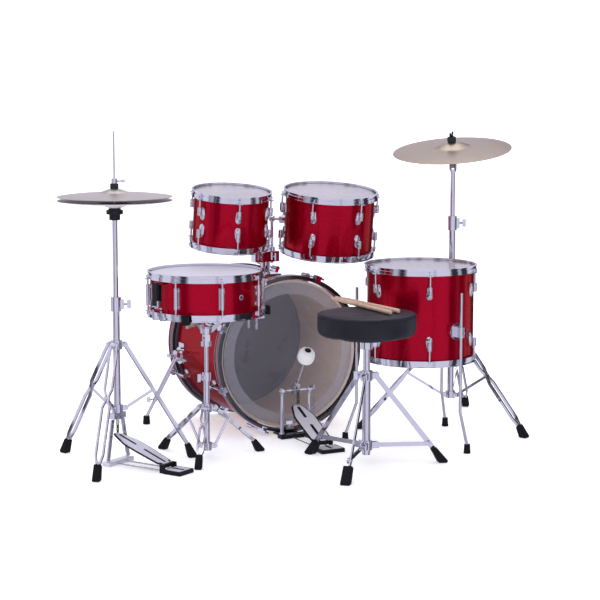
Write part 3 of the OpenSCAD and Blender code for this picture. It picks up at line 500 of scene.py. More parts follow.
def tube(points, radius, sides, bm=None, closed=False):
    """A round tube along a line of points: a loop if closed, and otherwise with capped ends."""
    bm = bm or bmesh.new()
    points = [Vector(p) for p in points]
    rings = []
    side = None
    for i, point in enumerate(points):
        before = points[i - 1] if i or closed else point
        after = points[(i + 1) % len(points)] if i + 1 < len(points) or closed else point
        along = (after - before).normalized()
        if side is None:
            side = along.cross(UP if abs(along.z) < 0.9 else Vector((1, 0, 0))).normalized()
        side = (side - along * side.dot(along)).normalized()
        other = along.cross(side)
        rings.append([bm.verts.new(point + (side * math.cos(a) + other * math.sin(a)) * radius)
                      for a in (2 * math.pi * k / sides for k in range(sides))])
    if closed:
        for low, high in zip(rings, rings[1:] + rings[:1]):
            bridge(bm, low, high)
    else:
        enclose(bm, rings)
    return bm


def plate(outline, bottom, top):
    """A flat plate between two heights from an outline of (x, y) points."""
    bm = bmesh.new()
    enclose(bm, [[bm.verts.new((x, y, z)) for x, y in outline] for z in (bottom, top)])
    return bm


def islands(node):
    """The separate solids of a CAD node, each as (bmesh, lowest corner, highest corner)."""
    bm = bmesh.new()
    bm.from_mesh(frame["nodes"][node].data)
    bmesh.ops.remove_doubles(bm, verts=bm.verts, dist=2e-6)
    bmesh.ops.dissolve_limit(bm, angle_limit=math.radians(0.5), verts=bm.verts, edges=bm.edges)
    found, seen = [], set()
    for first in bm.verts:
        if first in seen:
            continue
        group, todo = [], [first]
        seen.add(first)
        while todo:
            v = todo.pop()
            group.append(v)
            for e in v.link_edges:
                w = e.other_vert(v)
                if w not in seen:
                    seen.add(w)
                    todo.append(w)
        part = bmesh.new()
        copy = {v: part.verts.new(v.co) for v in group}
        faces = {f for v in group for f in v.link_faces}
        for f in sorted(faces, key=lambda f: f.index):
            part.faces.new([copy[v] for v in f.verts])
        low = Vector([min(v.co[k] for v in group) for k in range(3)])
        high = Vector([max(v.co[k] for v in group) for k in range(3)])
        found.append((part, low, high))
    bm.free()
    return found


def join(parts):
    """One bmesh from several, each given as a bmesh."""
    bm = bmesh.new()
    for part in parts:
        copy = {v: bm.verts.new(v.co) for v in part.verts}
        for f in part.faces:
            bm.faces.new([copy[v] for v in f.verts])
        part.free()
    return bm


def dress(node, body, kinds):
    """Rebuilds a CAD node's solids with rounded edges, one piece for each kind of material.

    kinds is a list of (name, material, slot, test, edge); a solid goes to the first whose test
    is true for its size, lowest corner and volume in cubic centimetres.
    """
    sorted_parts = {kind[0]: [] for kind in kinds}
    for part, low, high in islands(node):
        volume = abs(part.calc_volume()) * 1e6
        for name, _, _, test, _ in kinds:
            if test(high - low, low, volume):
                sorted_parts[name].append(part)
                break
    for name, material, slot, _, edge in kinds:
        if sorted_parts[name]:
            piece = to_object(name, join(sorted_parts[name]), material, body)
            bevel(piece, edge, 3 if edge > 0.001 else 2)
            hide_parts(node)


def anything(size, low, volume):
    return True


def chrome(name, edge, test=anything):
    return name, "chrome", "chrome", test, edge


def rubber(name, edge, test):
    return name, "rubber", "black_plastic", test, edge


def is_foot(size, low, volume):
    return low.z < 0.001 and max(size.x, size.y) < 0.08 and size.z > 0.016


def lies_on_floor(size, low, volume):
    return low.z < 0.001


def keep(material, *nodes):
    """Keeps CAD nodes and gives them their finish."""
    for node in nodes:
        mesh = frame["nodes"][node].data
        mesh.materials.clear()
        mesh.materials.append(MAT[material])


def ring_section(inner, outer, low, high, radius=0.001):
    return fillet([(inner, low), (outer, low), (outer, high), (inner, high)], radius, 3)


def bar_section(outer, low, high, radius):
    return fillet([(0, low), (outer, low), (outer, high), (0, high)], radius, 3)


# ---------- bass drum ----------

HOOP_WIDTH = 0.038
HOOP_GAP = 0.004
HOOP_BANDS = [("inlay", "inlay", "red_wrap", (0.0125, 0.0255)),
              ("line", "satin", "chrome", (0.0345, 0.0362))]
SHELL_PLY = 0.0072
LINING_INSET = 0.008
MUFFLING_RING = (0.205, 0.243)
MUFFLING_GAP = 0.0025
WIDE_TURN = 128


def bass_drum():
    low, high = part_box("bass_shell")
    radius = (high.x - low.x) / 2
    middle = (low + high) / 2
    hoop_low, hoop_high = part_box("bass_hoops")
    outer = (hoop_high.x - hoop_low.x) / 2
    keep("red", "bass_shell")
    keep("clear", "bass_batter_head")
    keep("dark_film", "bass_front_head")

    def frame_at(y, way=1):
        return facing((middle.x, y, middle.z), (0, way, 0))

    ends = {"batter": (hoop_low.y, 1), "front": (hoop_high.y, -1)}
    for end, (y, way) in ends.items():
        at = frame_at(y, way)
        section = ring_section(radius + HOOP_GAP, outer, 0, HOOP_WIDTH, 0.0025)
        hoop = to_object(f"bass_hoop_{end}", lathe(section, WIDE_TURN), "lacquer", "root", at)
        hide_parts("bass_hoops")
        for band, material, slot, span in HOOP_BANDS:
            section = ring_section(outer - 0.001, outer + 0.0003, *span, 0.0003)
            to_object(f"bass_hoop_{band}_{end}", lathe(section, WIDE_TURN), material, "root", at)
    muffle = ring_section(*MUFFLING_RING, 0, 0.0003, 0.0001)
    to_object("bass_muffling_ring", lathe(muffle, WIDE_TURN), "muffle", "root",
              frame_at(low.y + MUFFLING_GAP))
    # The edge slopes from the lining to the rim and laps over it as a thin skin on the shell.
    lining = radius - SHELL_PLY
    edge = [(lining - 0.0003, 0.009), (lining - 0.0003, 0.0056), (radius - 0.0016, -0.00006),
            (radius + 0.0001, -0.00006), (radius + 0.00025, 0.0015), (radius + 0.00025, 0.012),
            (radius + 0.00005, 0.012), (radius + 0.00005, 0.0015), (radius - 0.0015, 0.0001),
            (lining, 0.0058), (lining, 0.009)]
    to_object("bass_bearing_edge", lathe(edge, WIDE_TURN), "ply", "root", frame_at(low.y))
    length = high.y - low.y - 2 * LINING_INSET
    inside = ring_section(lining - 0.0012, lining - 0.0003, 0, length, 0.0002)
    to_object("bass_shell_lining", lathe(inside, 96), "ply", "root", frame_at(low.y + LINING_INSET))
    dress("bass_lugs_and_claws", "root", [
        chrome("bass_tension_rods", 0.0008, lambda size, low, volume: size.y > 0.08),
        chrome("bass_claws", 0.0025, lambda size, low, volume: size.y < 0.03),
        chrome("bass_lugs", 0.0025)])
    for side in ("left", "right"):
        dress(f"spur_{side}", f"spur_{side}", [
            rubber(f"spur_{side}_tip", 0.0025, lies_on_floor),
            chrome(f"spur_{side}_tube", 0.0006)])
    keep("chrome", "spur_brackets")


# ---------- tension lugs of the toms ----------

TOM_TILT = math.radians(7.3)
LUG_SINK = 0.0019
BARREL_OUT = 0.0115
VENT_SINK = 0.0015


def teardrop(matrix, bm):
    """A lug: a drop-shaped plate that swells from the shell, and a barrel by the hoop."""
    stations = [(-45.5, 0.4, 0.2), (-44.5, 4.6, 2.4), (-42, 8.2, 4.6), (-37.5, 10.6, 6.4), (-31, 11.6, 7.6),
                (-22, 11.2, 8.2), (-13, 10.0, 8), (-5, 8.2, 7), (-1.5, 6.0, 5), (-0.5, 3.0, 2.5)]
    rings = []
    arc = 10
    for z, wide, tall in stations:
        rings.append([bm.verts.new(matrix @ Vector((
            -LUG_SINK + tall * MM * math.sin(math.pi * k / arc),
            wide * MM * math.cos(math.pi * k / arc), z * MM))) for k in range(arc + 1)])
    enclose(bm, rings)
    barrel = fillet([(0, -28), (6.2, -28), (7.4, -25), (7.4, -20), (6.7, -19.2), (7.4, -18.4), (7.4, -5),
                     (6.7, -4.4), (7.4, -3.8), (7.4, 0), (0, 0)], 0.7, 2)
    out = Matrix.Translation((BARREL_OUT, 0, 0))
    lathe([(r * MM, z * MM) for r, z in barrel], 24, bm, matrix @ out)


def drum_frame(centre, tilt):
    return Matrix.Translation(centre) @ Matrix.Rotation(tilt, 4, "X")


def tom_fittings(name, body, centre, tilt, shell_diameter, bracket_edge):
    """Drop-shaped lugs in the CAD lugs' places; rods, brackets and screws with rounded edges."""
    node = f"{name}_lugs"
    drum = drum_frame(centre, tilt)
    to_drum = drum.inverted()
    lug_bm = bmesh.new()
    others = {"rods": [], "bracket": []}
    for part, _, _ in islands(node):
        volume = abs(part.calc_volume()) * 1e6
        points = [to_drum @ v.co for v in part.verts]
        middle = sum(points, Vector()) / len(points)
        tall = max(p.z for p in points) - min(p.z for p in points)
        radial = max(p.xy.length for p in points)
        if 5 < volume < 14 and 0.04 < tall < 0.046:
            way = 1 if middle.z > 0 else -1
            hoop_end = max(p.z * way for p in points)
            turn = Matrix.Rotation(math.atan2(middle.y, middle.x), 4, "Z")
            flip = Matrix.Diagonal((1, 1, way, 1))
            place = drum @ turn @ flip @ Matrix.Translation((shell_diameter / 2, 0, hoop_end))
            teardrop(place, lug_bm)
            part.free()
        elif tall > 0.05 and volume < 5 and radial < shell_diameter / 2 + 0.02:
            others["rods"].append(part)
        else:
            others["bracket"].append(part)
    lugs = to_object(f"{name}_drop_lugs", lug_bm, "chrome", body, None, math.radians(50))
    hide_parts(node)
    rods = to_object(f"{name}_tension_rods", join(others["rods"]), "chrome", body)
    bevel(rods, 0.0005)
    bracket = to_object(f"{name}_bracket", join(others["bracket"]), "chrome", body)
    bevel(bracket, bracket_edge, 4)


def vent(name, body, centre, tilt, shell_diameter, angle):
    """Chrome grommet in the shell's vent hole."""
    turn = Matrix.Rotation(math.radians(angle), 4, "Z")
    out = Matrix.Translation((shell_diameter / 2 - VENT_SINK, 0, 0))
    ring = fillet([(0.0035, -0.004), (0.0058, -0.004), (0.0058, 0.0001), (0.0092, 0.0001),
                   (0.0085, 0.0022), (0.0035, 0.0022)], 0.001, 3)
    to_object(f"{name}_vent_grommet", lathe(ring, 32), "chrome", body,
              drum_frame(centre, tilt) @ turn @ out @ ALONG_X)


def toms():
    low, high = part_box("floor_tom_shell")
    floor_tom_at = (low + high) / 2
    low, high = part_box("snare_shell")
    snare_at = (low + high) / 2
    drums = [("tom1", "tom1", joint_at("tom1_tilt"), TOM_TILT, 0.254, 107),
             ("tom2", "tom2", joint_at("tom2_tilt"), TOM_TILT, 0.305, 72),
             ("floor_tom", "floor_tom", floor_tom_at, 0.0, 0.356, 99),
             ("snare", "snare_drum", snare_at, 0.0, 0.356, 284.8)]
    for name, body, centre, tilt, shell_diameter, _ in drums[:3]:
        bracket_edge = 0.004 if name == "floor_tom" else 0.003
        tom_fittings(name, body, centre, tilt, shell_diameter, bracket_edge)
    for name, *_ in drums:
        keep("red", f"{name}_shell")
        keep("chrome", f"{name}_hoops")
        keep("coated" if name == "snare" else "film", f"{name}_heads")
    keep("chrome", "tom1_arm", "tom2_arm", "snare_lugs", "snare_strainer")
    keep("steel", "snare_wires")
    dress("tom_holder", "root", [chrome("tom_holder_post", 0.003)])
    dress("floor_tom_legs", "root", [
        rubber("floor_tom_leg_tips", 0.002, lies_on_floor),
        chrome("floor_tom_leg_rods", 0.0006)])
    for drum in drums:
        vent(*drum)
    dress("snare_lever", "snare_lever", [("snare_throw_lever", "plastic", "black_plastic", anything, 0.002)])


# ---------- stands ----------

def stands():
    dress("snare_stand_base", "root", [
        rubber("snare_stand_feet", 0.003, is_foot),
        chrome("snare_stand_legs_and_tube", 0.0008)])
    dress("snare_basket", "snare_drum", [
        rubber("snare_basket_grips", 0.003, lambda size, low, volume: max(size.x, size.y) < 0.06),
        chrome("snare_basket_arms", 0.0012)])
    dress("hihat_base", "root", [
        rubber("hihat_feet", 0.003, is_foot),
        ("hihat_base_bar", "pale_metal", "chrome",
         lambda size, low, volume: low.z < 0.001 and volume < 60, 0.002),
        ("hihat_heel_block", "black_metal", "black_metal", lies_on_floor, 0.002),
        chrome("hihat_stand_tube_and_legs", 0.0008)])
    dress("crash_base_tube", "root", [chrome("crash_lower_tube", 0.0012)])
    dress("crash_hub", "crash_hub", [chrome("crash_leg_hub", 0.0012)])
    for i in (1, 2, 3):
        dress(f"crash_leg_{i}", f"crash_leg_{i}", [
            rubber(f"crash_leg_{i}_foot", 0.003, is_foot),
            chrome(f"crash_leg_{i}_strips", 0.0008)])
        keep("chrome", f"crash_brace_{i}")
    dress("crash_tilter", "crash_tilter", [
        ("crash_felts", "felt", "black_plastic",
         lambda size, low, volume: size.z < 0.055 and volume > 5, 0.0025),
        ("crash_wing_nut", "plastic", "black_plastic",
         lambda size, low, volume: volume < 3 and size.z < 0.02, 0.0008),
        chrome("crash_tilter_rod", 0.0008)])
    dress("throne_base", "root", [
        rubber("throne_feet", 0.003, is_foot),
        chrome("throne_legs_and_tube", 0.0012)])
    keep("chrome", "snare_stand_tube", "crash_tube", "throne_post")


# ---------- cymbals ----------

CYMBAL_T = 0.0012
# Bell radius, height of the bow, and radius of the hole.
HAT_SHAPE = (0.050, 0.010, 0.007)
CRASH_SHAPE = (0.062, 0.012, 0.0053)


def cymbal(node, name, body, material, slot, axis, bell_radius, bow, hole):
    """A turned cymbal: a bow that flattens to the edge and a bell with a soft shoulder."""
    points = [v.co.copy() for v in frame["nodes"][node].data.vertices]
    axis = Vector(axis).normalized()
    middle = sum(points, Vector()) / len(points)
    edge = max(points, key=lambda p: (p - middle).cross(axis).length)
    heights = [p.dot(axis) for p in points]
    radius = (edge - middle).cross(axis).length
    base = middle + axis * (min(heights) - middle.dot(axis))
    rise = max(heights) - min(heights) - CYMBAL_T
    profile = []
    steps = 40
    for i in range(steps + 1):
        r = radius + (hole - radius) * i / steps
        outer = max(0.0, (r - bell_radius) / (radius - bell_radius))
        z = bow * (1 - outer ** 2)
        if r < bell_radius:
            z = bow + (rise - bow) * math.cos(math.pi / 2 * (r - hole) / (bell_radius - hole))
        profile.append([r, z])
    for _ in range(2):
        heights = [z for _, z in profile]
        for i in range(1, steps):
            profile[i][1] = (heights[i - 1] + 2 * heights[i] + heights[i + 1]) / 4
    top = [(r, z + CYMBAL_T) for r, z in profile]
    low = [(r, z) for r, z in reversed(profile)]
    piece = to_object(name, lathe(top + low, 160), material, body,
                      facing(base, axis), math.radians(60))
    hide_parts(node)


def cymbals():
    cymbal("hihat_top_cymbal", "hihat_upper_cymbal", "hihat_clutch", "hat", "cymbal_light",
           UP, *HAT_SHAPE)
    cymbal("hihat_bottom_cymbal", "hihat_lower_cymbal", "hihat_tube", "low_hat_painted_light", "cymbal_light",
           -UP, *HAT_SHAPE)
    cymbal("crash_cymbal", "crash_bronze_cymbal", "crash_cymbal", "crash", "cymbal_dark",
           joint_axis("crash_spin"), *CRASH_SHAPE)


# ---------- hi-hat's moving parts ----------

CHAIN_PITCH = 0.0064
LINK_HALF = 0.0004
LINK_RADIUS = 0.0021
PIN_HALF = 0.0046
PIN_RADIUS = 0.0014
CUP_LOW = 0.773
CUP_HIGH = 0.790
ROD_HOLE = 0.0034


def chain(top, bottom, across):
    """Roller chain: pairs of link plates and rollers from top to bottom."""
    bm = bmesh.new()
    along = (bottom - top).normalized()
    count = max(2, round((bottom - top).length / CHAIN_PITCH))
    pitch = (bottom - top).length / count
    out = along.cross(across).normalized()
    for i in range(count):
        a = top + along * pitch * i
        b = a + along * pitch
        wide = 0.0030 if i % 2 else 0.0038
        for side in (-1, 1):
            shift = across * wide * side
            outline = []
            for centre, start in ((a, 0), (b, math.pi)):
                for k in range(7):
                    angle = start + math.pi / 2 + math.pi * k / 6
                    spoke = along * math.cos(angle) + out * math.sin(angle)
                    outline.append(centre + shift + spoke * LINK_RADIUS)
            enclose(bm, [[bm.verts.new(p + across * t) for p in outline] for t in (-LINK_HALF, LINK_HALF)])
        tube([a - across * PIN_HALF, a + across * PIN_HALF], PIN_RADIUS, 10, bm)
    return bm


def is_clutch_felt(size, low, volume):
    return 0.023 < size.x < 0.027 and abs(size.x - size.y) < 0.0005


def hihat():
    low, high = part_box("hihat_tube")
    axis = Vector(((low.x + high.x) / 2, (low.y + high.y) / 2, 0))
    here = Matrix.Translation(axis)
    felt_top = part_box("hihat_bottom_cymbal")[0].z - 0.0003
    section = ring_section(0.0050, 0.0080, low.z, CUP_LOW)
    body = to_object("hihat_upper_tube", lathe(section, 40), "chrome", "hihat_tube", here)
    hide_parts("hihat_tube")
    cup = fillet([(ROD_HOLE, CUP_LOW - 0.002), (0.017, CUP_LOW), (0.017, CUP_HIGH),
                  (0.026, CUP_HIGH + 0.001), (0.026, felt_top - 0.005), (0.021, felt_top - 0.004),
                  (ROD_HOLE, felt_top - 0.004)], 0.0015, 3)
    felt = ring_section(ROD_HOLE, 0.0195, felt_top - 0.0035, felt_top)
    sleeve = ring_section(ROD_HOLE, 0.006, felt_top, high.z, 0.0006)
    for name, section, steps, material in (("cup", cup, 48, "plastic"), ("felt", felt, 40, "felt"),
                                           ("sleeve", sleeve, 24, "plastic")):
        to_object(f"hihat_seat_{name}", lathe(section, steps), material, "hihat_tube", here)
    rod_low, rod_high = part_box("hihat_pull_rod")
    across = -joint_axis("hihat_pedal")
    coupling = rod_low.z + 0.031
    section = bar_section(0.003, coupling, rod_high.z, 0.0012)
    rod = to_object("hihat_rod_steel", lathe(section, 24), "chrome", "hihat_pull_rod", here)
    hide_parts("hihat_pull_rod")
    section = bar_section(0.006, coupling - 0.001, coupling + 0.011, 0.0015)
    to_object("hihat_rod_coupling", lathe(section, 24), "chrome", "hihat_pull_rod", here)
    links = chain(axis + UP * coupling, axis + UP * (rod_low.z + 0.0025), across)
    to_object("hihat_chain", links, "black_metal", "hihat_pull_rod")
    dress("hihat_clutch", "hihat_clutch", [
        ("hihat_clutch_felts", "felt", "black_plastic", is_clutch_felt, 0.0016),
        chrome("hihat_clutch_body", 0.0008)])


# ---------- footboards ----------

BOARD_LOW = 0.001
BOARD_SEAM = 0.0034
BOARD_HIGH = 0.006
BOARD_RIM = 0.006
HEEL_TOP = 0.013


def stadium(y0, y1, half, steps=8):
    """The outline of a long slot with round ends."""
    ends = ((y1 - half, 0), (y0 + half, math.pi))
    return [(half * math.cos(a + math.pi * k / steps), y + half * math.sin(a + math.pi * k / steps))
            for y, a in ends for k in range(steps + 1)]


def footboard(node, body, joint, heel, mid, toe, groove_half, grooves):
    """Pedal board: a silver top on a black rim, long black grooves and a hinge barrel.

    heel, mid and toe are half widths, and each groove's ends are parts of the board's length.
    """
    x = -joint_axis(joint)
    level = facing(joint_at(joint), UP, x)
    back = level.inverted()
    points = [back @ v.co for v in frame["nodes"][node].data.vertices]
    reach = max(p.y for p in points)
    tip = [p for p in points if p.y > reach - 0.002]
    slope = math.atan2(sum(p.z for p in tip) / len(tip) - 0.0035, reach)
    length = reach / math.cos(slope) - 0.001
    board = level @ Matrix.Rotation(slope, 4, "X")
    half = [(0.022, 0), (0.022, 0.012), (heel, 0.0125), (mid, 0.45 * length), (mid, 0.7 * length),
            (toe, 0.95 * length), (toe - 0.008, length)]
    outline = half + [(-px, py) for px, py in reversed(half)]
    shape = plate(fillet(outline, 0.010), BOARD_LOW, BOARD_SEAM)
    rim = to_object(f"{body}_rim", shape, "black_metal", body, board)
    bevel(rim, 0.0006)
    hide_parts(node)
    inset = [(px - math.copysign(BOARD_RIM, px), 0.006 + py * 0.965) for px, py in outline]
    shape = plate(fillet(inset, 0.010), BOARD_SEAM, BOARD_HIGH - 0.0003)
    top = to_object(f"{body}_plate", shape, "pale_metal", body, board)
    bevel(top, 0.0010, 3)
    for number, (start, end) in enumerate(grooves):
        shape = plate(stadium(start * length, end * length, groove_half), BOARD_HIGH - 0.0006, BOARD_HIGH)
        groove = to_object(f"{body}_groove_{number}", shape, "rubber", body, board)
        bevel(groove, 0.0002, 1)
    barrel = bmesh.new()
    for start, end in ((-0.024, -0.009), (-0.0085, 0.0085), (0.009, 0.024)):
        lathe(ring_section(0.00305, 0.0065, start, end, 0.0008), 28, barrel, level @ ALONG_X)
    to_object(f"{body}_hinge_barrel", barrel, "black_metal", body)


def heel_tread(name, joint, half):
    """The silver tread on a heel block, with the board's dark stripe running on over it."""
    hinge = joint_at(joint)
    level = facing(Vector((hinge.x, hinge.y, HEEL_TOP)), UP, -joint_axis(joint))
    outline = fillet([(-half, -0.069), (half, -0.069), (half, -0.013), (-half, -0.013)], 0.006)
    tread = to_object(name, plate(outline, -0.001, 0.0008), "pale_metal", "root", level)
    bevel(tread, 0.0004)
    line = plate(stadium(-0.064, -0.018, 0.005), 0.0002, 0.0012)
    stripe = to_object(f"{name}_stripe", line, "rubber", "root", level)
    bevel(stripe, 0.0002, 1)


def footboards():
    footboard("hihat_footboard", "hihat_footboard", "hihat_pedal", 0.032, 0.038, 0.018,
              0.0045, [(0.60, 0.93), (0.05, 0.46)])
    heel_tread("hihat_heel_tread", "hihat_pedal", 0.029)
    footboard("pedal_footboard", "pedal_footboard", "pedal_press", 0.038, 0.040, 0.024,
              0.0055, [(0.64, 0.94), (0.05, 0.46)])
    heel_tread("pedal_heel_tread", "pedal_press", 0.036)


# ---------- bass drum pedal ----------

POST_X = 0.051
BEATER_LEAN = math.radians(32)
BEATER_REACH = 0.150
CAM_RADIUS = 0.017
BASE_TOP = 0.014
AXLE_HALF = 0.0049
SHAFT_HOLE = 0.0032
BEARING_HOLE = 0.00505
SPRING_RADIUS = 0.0042
SPRING_LOW = 0.064
SPRING_HIGH = 0.132
SPRING_EYE = 0.147
SPRING_TURNS = 15


def pedal():
    axle = joint_at("pedal_beater_swing")
    across = Matrix.Translation(axle) @ ALONG_X
    turns = [math.pi / 3 * k for k in range(6)]
    hexagon = [(AXLE_HALF * math.cos(a), AXLE_HALF * math.sin(a)) for a in turns]
    shape = plate(hexagon, -POST_X - 0.012, POST_X + 0.021)
    bar = to_object("pedal_axle", shape, "chrome", "pedal_beater", across)
    bevel(bar, 0.0004)
    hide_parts("pedal_beater")
    cam = fillet([(0.0052, -0.011), (CAM_RADIUS, -0.011), (CAM_RADIUS, -0.0075), (0.0135, -0.006),
                  (0.0135, 0.006), (CAM_RADIUS, 0.0075), (CAM_RADIUS, 0.011), (0.0052, 0.011)], 0.0012, 3)
    to_object("pedal_cam", lathe(cam, 48), "satin", "pedal_beater", across)
    lean = Matrix.Translation(axle) @ Matrix.Rotation(BEATER_LEAN, 4, "X")
    square = fillet([(-0.009, -0.009), (0.009, -0.009), (0.009, 0.009), (-0.009, 0.009)], 0.003)
    hub = to_object("pedal_beater_hub", plate(square, 0.008, 0.032), "chrome", "pedal_beater", lean)
    bevel(hub, 0.0015, 3)
    shaft = bar_section(0.003, 0.010, BEATER_REACH + 0.026, 0.0008)
    to_object("pedal_beater_shaft", lathe(shaft, 24), "chrome", "pedal_beater", lean)
    head = lean @ Matrix.Translation((0, 0, BEATER_REACH))
    felt = fillet([(SHAFT_HOLE, -0.024), (0.021, -0.024), (0.0285, -0.012), (0.0285, 0.012),
                   (0.021, 0.024), (SHAFT_HOLE, 0.024)], 0.010, 6)
    to_object("pedal_beater_felt", lathe(felt, 56), "white_felt", "pedal_beater", head)
    nut = fillet([(SHAFT_HOLE, 0.0243), (0.011, 0.0243), (0.011, 0.0262), (0.008, 0.0285),
                  (SHAFT_HOLE, 0.0285)], 0.0006, 3)
    to_object("pedal_beater_nut", lathe(nut, 32), "plastic", "pedal_beater", head)
    rocker = fillet([(-0.005, -0.014), (0.005, -0.014), (0.005, 0.004), (-0.005, 0.004)], 0.003)
    shape = plate(rocker, POST_X + 0.013, POST_X + 0.021)
    arm = to_object("pedal_rocker", shape, "satin", "pedal_beater",
                    across @ Matrix.Rotation(-math.pi / 2, 4, "Z"))
    bevel(arm, 0.0008)
    for side, x in (("left", -POST_X), ("right", POST_X)):
        foot = Matrix.Translation((axle.x + x, axle.y, 0))
        post = fillet([(0, BASE_TOP + 0.0003), (0.009, BASE_TOP + 0.0003), (0.009, 0.020), (0.0060, 0.024),
                       (0.0060, axle.z - 0.016), (0.008, axle.z - 0.010), (0.008, axle.z - 0.007),
                       (0, axle.z - 0.007)], 0.0015, 3)
        to_object(f"pedal_post_{side}", lathe(post, 32), "chrome", "root", foot)
        bearing = fillet([(BEARING_HOLE, -0.008), (0.0095, -0.008), (0.011, -0.0065), (0.011, 0.0065),
                          (0.0095, 0.008), (BEARING_HOLE, 0.008)], 0.0008, 3)
        to_object(f"pedal_bearing_{side}", lathe(bearing, 40), "chrome", "root",
                  across @ Matrix.Translation((0, 0, x)))
    pedal_spring(axle)
    pedal_floor_parts(axle)
    line = axle + Vector((0, -CAM_RADIUS - 0.0030, 0))
    bottom = Vector((line.x, line.y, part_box("pedal_chain")[0].z + 0.0025))
    links = to_object("pedal_drive_chain", chain(line, bottom, Vector((1, 0, 0))), "black_metal",
                      "root")
    # It stretches between two bodies, so it no longer rides on the root.
    links.parent = None
    del links["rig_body"]
    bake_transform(links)
    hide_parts("pedal_chain")


def pedal_spring(axle):
    """A coil spring between an eye bolt by the right post and the rocker."""
    at = Vector((axle.x + POST_X + 0.017, axle.y, 0))
    steps = 16
    count = SPRING_TURNS * steps
    coil = []
    for k in range(count + 1):
        a = 2 * math.pi * k / steps
        height = SPRING_LOW + (SPRING_HIGH - SPRING_LOW) * k / count
        coil.append(at + Vector((SPRING_RADIUS * math.cos(a), SPRING_RADIUS * math.sin(a), height)))
    coil += [at + UP * height for height in (SPRING_HIGH + 0.003, SPRING_EYE)]
    spring = to_object("pedal_spring", tube(coil, 0.0009, 8), "steel", "root")
    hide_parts("pedal_base")
    eye = fillet([(0, 0.046), (0.0022, 0.046), (0.0022, 0.060), (0.0045, 0.060), (0.0045, 0.063),
                  (0, 0.063)], 0.0004, 2)
    to_object("pedal_spring_bolt", lathe(eye, 20), "chrome", "root", Matrix.Translation(at))
    tab = fillet([(0.005, -0.004), (0.021, -0.004), (0.021, 0.004), (0.005, 0.004)], 0.002, 3)
    hook = to_object("pedal_spring_tab", plate(tab, 0.050, 0.056), "chrome", "root",
                     Matrix.Translation((axle.x + POST_X, axle.y, 0)))
    bevel(hook, 0.0006)


def pedal_floor_parts(axle):
    """Base bar, hoop jaws, screws and heel plate, cut from the CAD node without its posts."""
    base_parts, small = [], []
    for part, low, high in islands("pedal_base"):
        if high.z - low.z > 0.1 and low.z < 0.001:
            geometry = part.verts[:] + part.edges[:] + part.faces[:]
            bmesh.ops.bisect_plane(part, geom=geometry, plane_co=(0, 0, BASE_TOP - 0.0002), plane_no=UP,
                                   clear_outer=True)
            bmesh.ops.holes_fill(part, edges=part.edges)
            base_parts.append(part)
        elif low.x > axle.x + POST_X or low.z > 0.03:
            part.free()
        elif low.z > 0.001:
            small.append(part)
        else:
            base_parts.append(part)
    bevel(to_object("pedal_frame", join(base_parts), "black_metal", "root"), 0.0018, 3)
    bevel(to_object("pedal_jaw_and_rods", join(small), "chrome", "root"), 0.0008)


# ---------- throne and sticks ----------

CUSHION_T = 0.072
SEAT_CAP = 0.0015
VOXEL = 0.006
PRESSURE = 4
CLOTH_FRAMES = 20
SEAM_DROP = 0.0075
SEAM_RADIUS = 0.0011


def swell(piece, cap):
    """Inflates a cushion by cloth simulation and caps how far each point may move."""
    remesh = piece.modifiers.new("remesh", "REMESH")
    remesh.mode = "VOXEL"
    remesh.voxel_size = VOXEL
    bpy.context.view_layer.update()
    graph = bpy.context.evaluated_depsgraph_get()
    piece.data = bpy.data.meshes.new_from_object(piece.evaluated_get(graph))
    piece.modifiers.clear()
    rest = [v.co.copy() for v in piece.data.vertices]
    cloth = piece.modifiers.new("cloth", "CLOTH")
    cloth.settings.use_pressure = True
    cloth.settings.uniform_pressure_force = PRESSURE
    cloth.settings.effector_weights.gravity = 0
    for number in range(1, CLOTH_FRAMES + 1):
        SCENE.frame_set(number)
    graph = bpy.context.evaluated_depsgraph_get()
    moved = [v.co.copy() for v in piece.evaluated_get(graph).data.vertices]
    piece.modifiers.clear()
    for vertex, start, end in zip(piece.data.vertices, rest, moved):
        step = end - start
        vertex.co = start + step * min(1, cap / max(step.length, 1e-9))
    SCENE.frame_set(1)
    piece.data.shade_smooth()
    soft = piece.modifiers.new("subdivide", "SUBSURF")
    soft.levels = 1
    soft.render_levels = 1


def girth(piece, height, count=72):
    """Points round the side of a piece at one height, one for each direction."""
    reach = [0.0] * count
    for vertex in piece.data.vertices:
        if abs(vertex.co.z - height) < 0.004:
            flat = Vector((vertex.co.x, vertex.co.y))
            k = round(math.atan2(flat.y, flat.x) / (2 * math.pi) * count) % count
            reach[k] = max(reach[k], flat.length)
    turns = [2 * math.pi * k / count for k in range(count)]
    return [Vector((r * math.cos(a), r * math.sin(a), height)) for r, a in zip(reach, turns)]


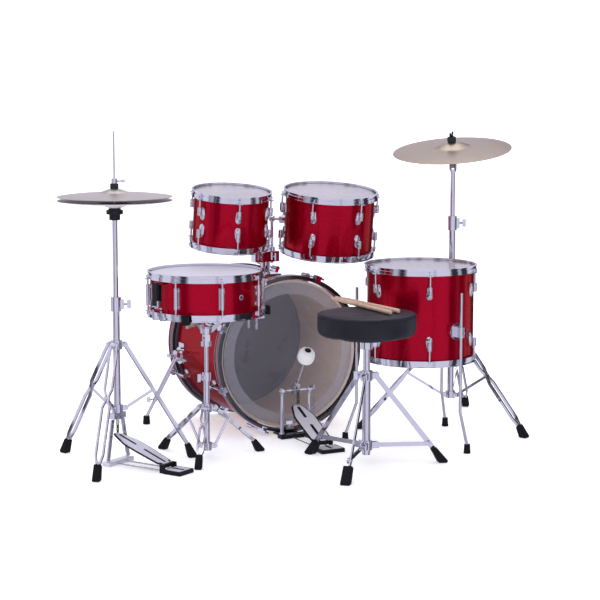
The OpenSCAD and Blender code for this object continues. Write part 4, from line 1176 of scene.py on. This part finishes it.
def throne():
    low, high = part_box("throne_seat")
    radius = (high.x - low.x) / 2
    centre = Vector(((low.x + high.x) / 2, (low.y + high.y) / 2, 0))
    here = Matrix.Translation(centre)
    top = high.z - 0.0006
    bottom = high.z - CUSHION_T
    outline = fillet([(0, bottom + 0.001), (radius - 0.012, bottom + 0.001),
                      (radius - 0.0025, bottom + 0.012), (radius - 0.0015, top - 0.006),
                      (radius - 0.006, top - 0.0016), (0, top - 0.0012)], 0.007, 5)
    cushion = to_object("throne_cushion", lathe(outline, 96), "vinyl", "throne_seat", here)
    swell(cushion, SEAT_CAP)
    for vertex in cushion.data.vertices:
        vertex.co.z = min(vertex.co.z, top - 0.0004)
        flat = Vector((vertex.co.x, vertex.co.y))
        if flat.length > radius:
            flat = flat.normalized() * radius
            vertex.co.x, vertex.co.y = flat
    cushion.data.materials.clear()
    cushion.data.materials.append(MAT["vinyl"])
    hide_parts("throne_seat")
    seam = [centre + point for point in girth(cushion, top - SEAM_DROP)]
    to_object("throne_seam", tube(seam, SEAM_RADIUS, 10, None, True), "vinyl", "throne_seat")
    board = bar_section(radius - 0.075, bottom - 0.012, bottom + 0.002, 0.003)
    to_object("throne_seat_board", lathe(board, 72), "plastic", "throne_seat", here)
    socket = [part for part, _, part_high in islands("throne_seat") if part_high.z < bottom]
    bevel(to_object("throne_seat_socket", join(socket), "chrome", "throne_seat"), 0.0015, 3)


def drumsticks():
    """Turned sticks: a rounded butt, a long taper and an acorn tip."""
    for number, (part, low, high) in enumerate(islands("drumsticks")):
        points = [v.co.copy() for v in part.verts]
        part.free()
        butt = min(points, key=lambda p: p.y)
        tip = max(points, key=lambda p: p.y)
        near = [p for p in points if p.y < butt.y + 0.016]
        start = sum(near, Vector()) / len(near)
        start.z = (low.z + high.z) / 2
        end = Vector((tip.x, tip.y, start.z))
        length = (end - start).length
        outline = fillet([(0, 0), (0.0069, 0), (0.0069, length - 0.075), (0.0034, length - 0.012),
                          (0.0046, length - 0.009), (0.0046, length - 0.004), (0.0024, length),
                          (0, length)], 0.003)
        stick = to_object(f"drumstick_{number + 1}", lathe(outline, 32), "maple", "throne_post",
                          facing(start, end - start))
        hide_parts("drumsticks")


make_camera()
make_studio()
bass_drum()
toms()
stands()
cymbals()
hihat()
footboards()
pedal()
throne()
drumsticks()
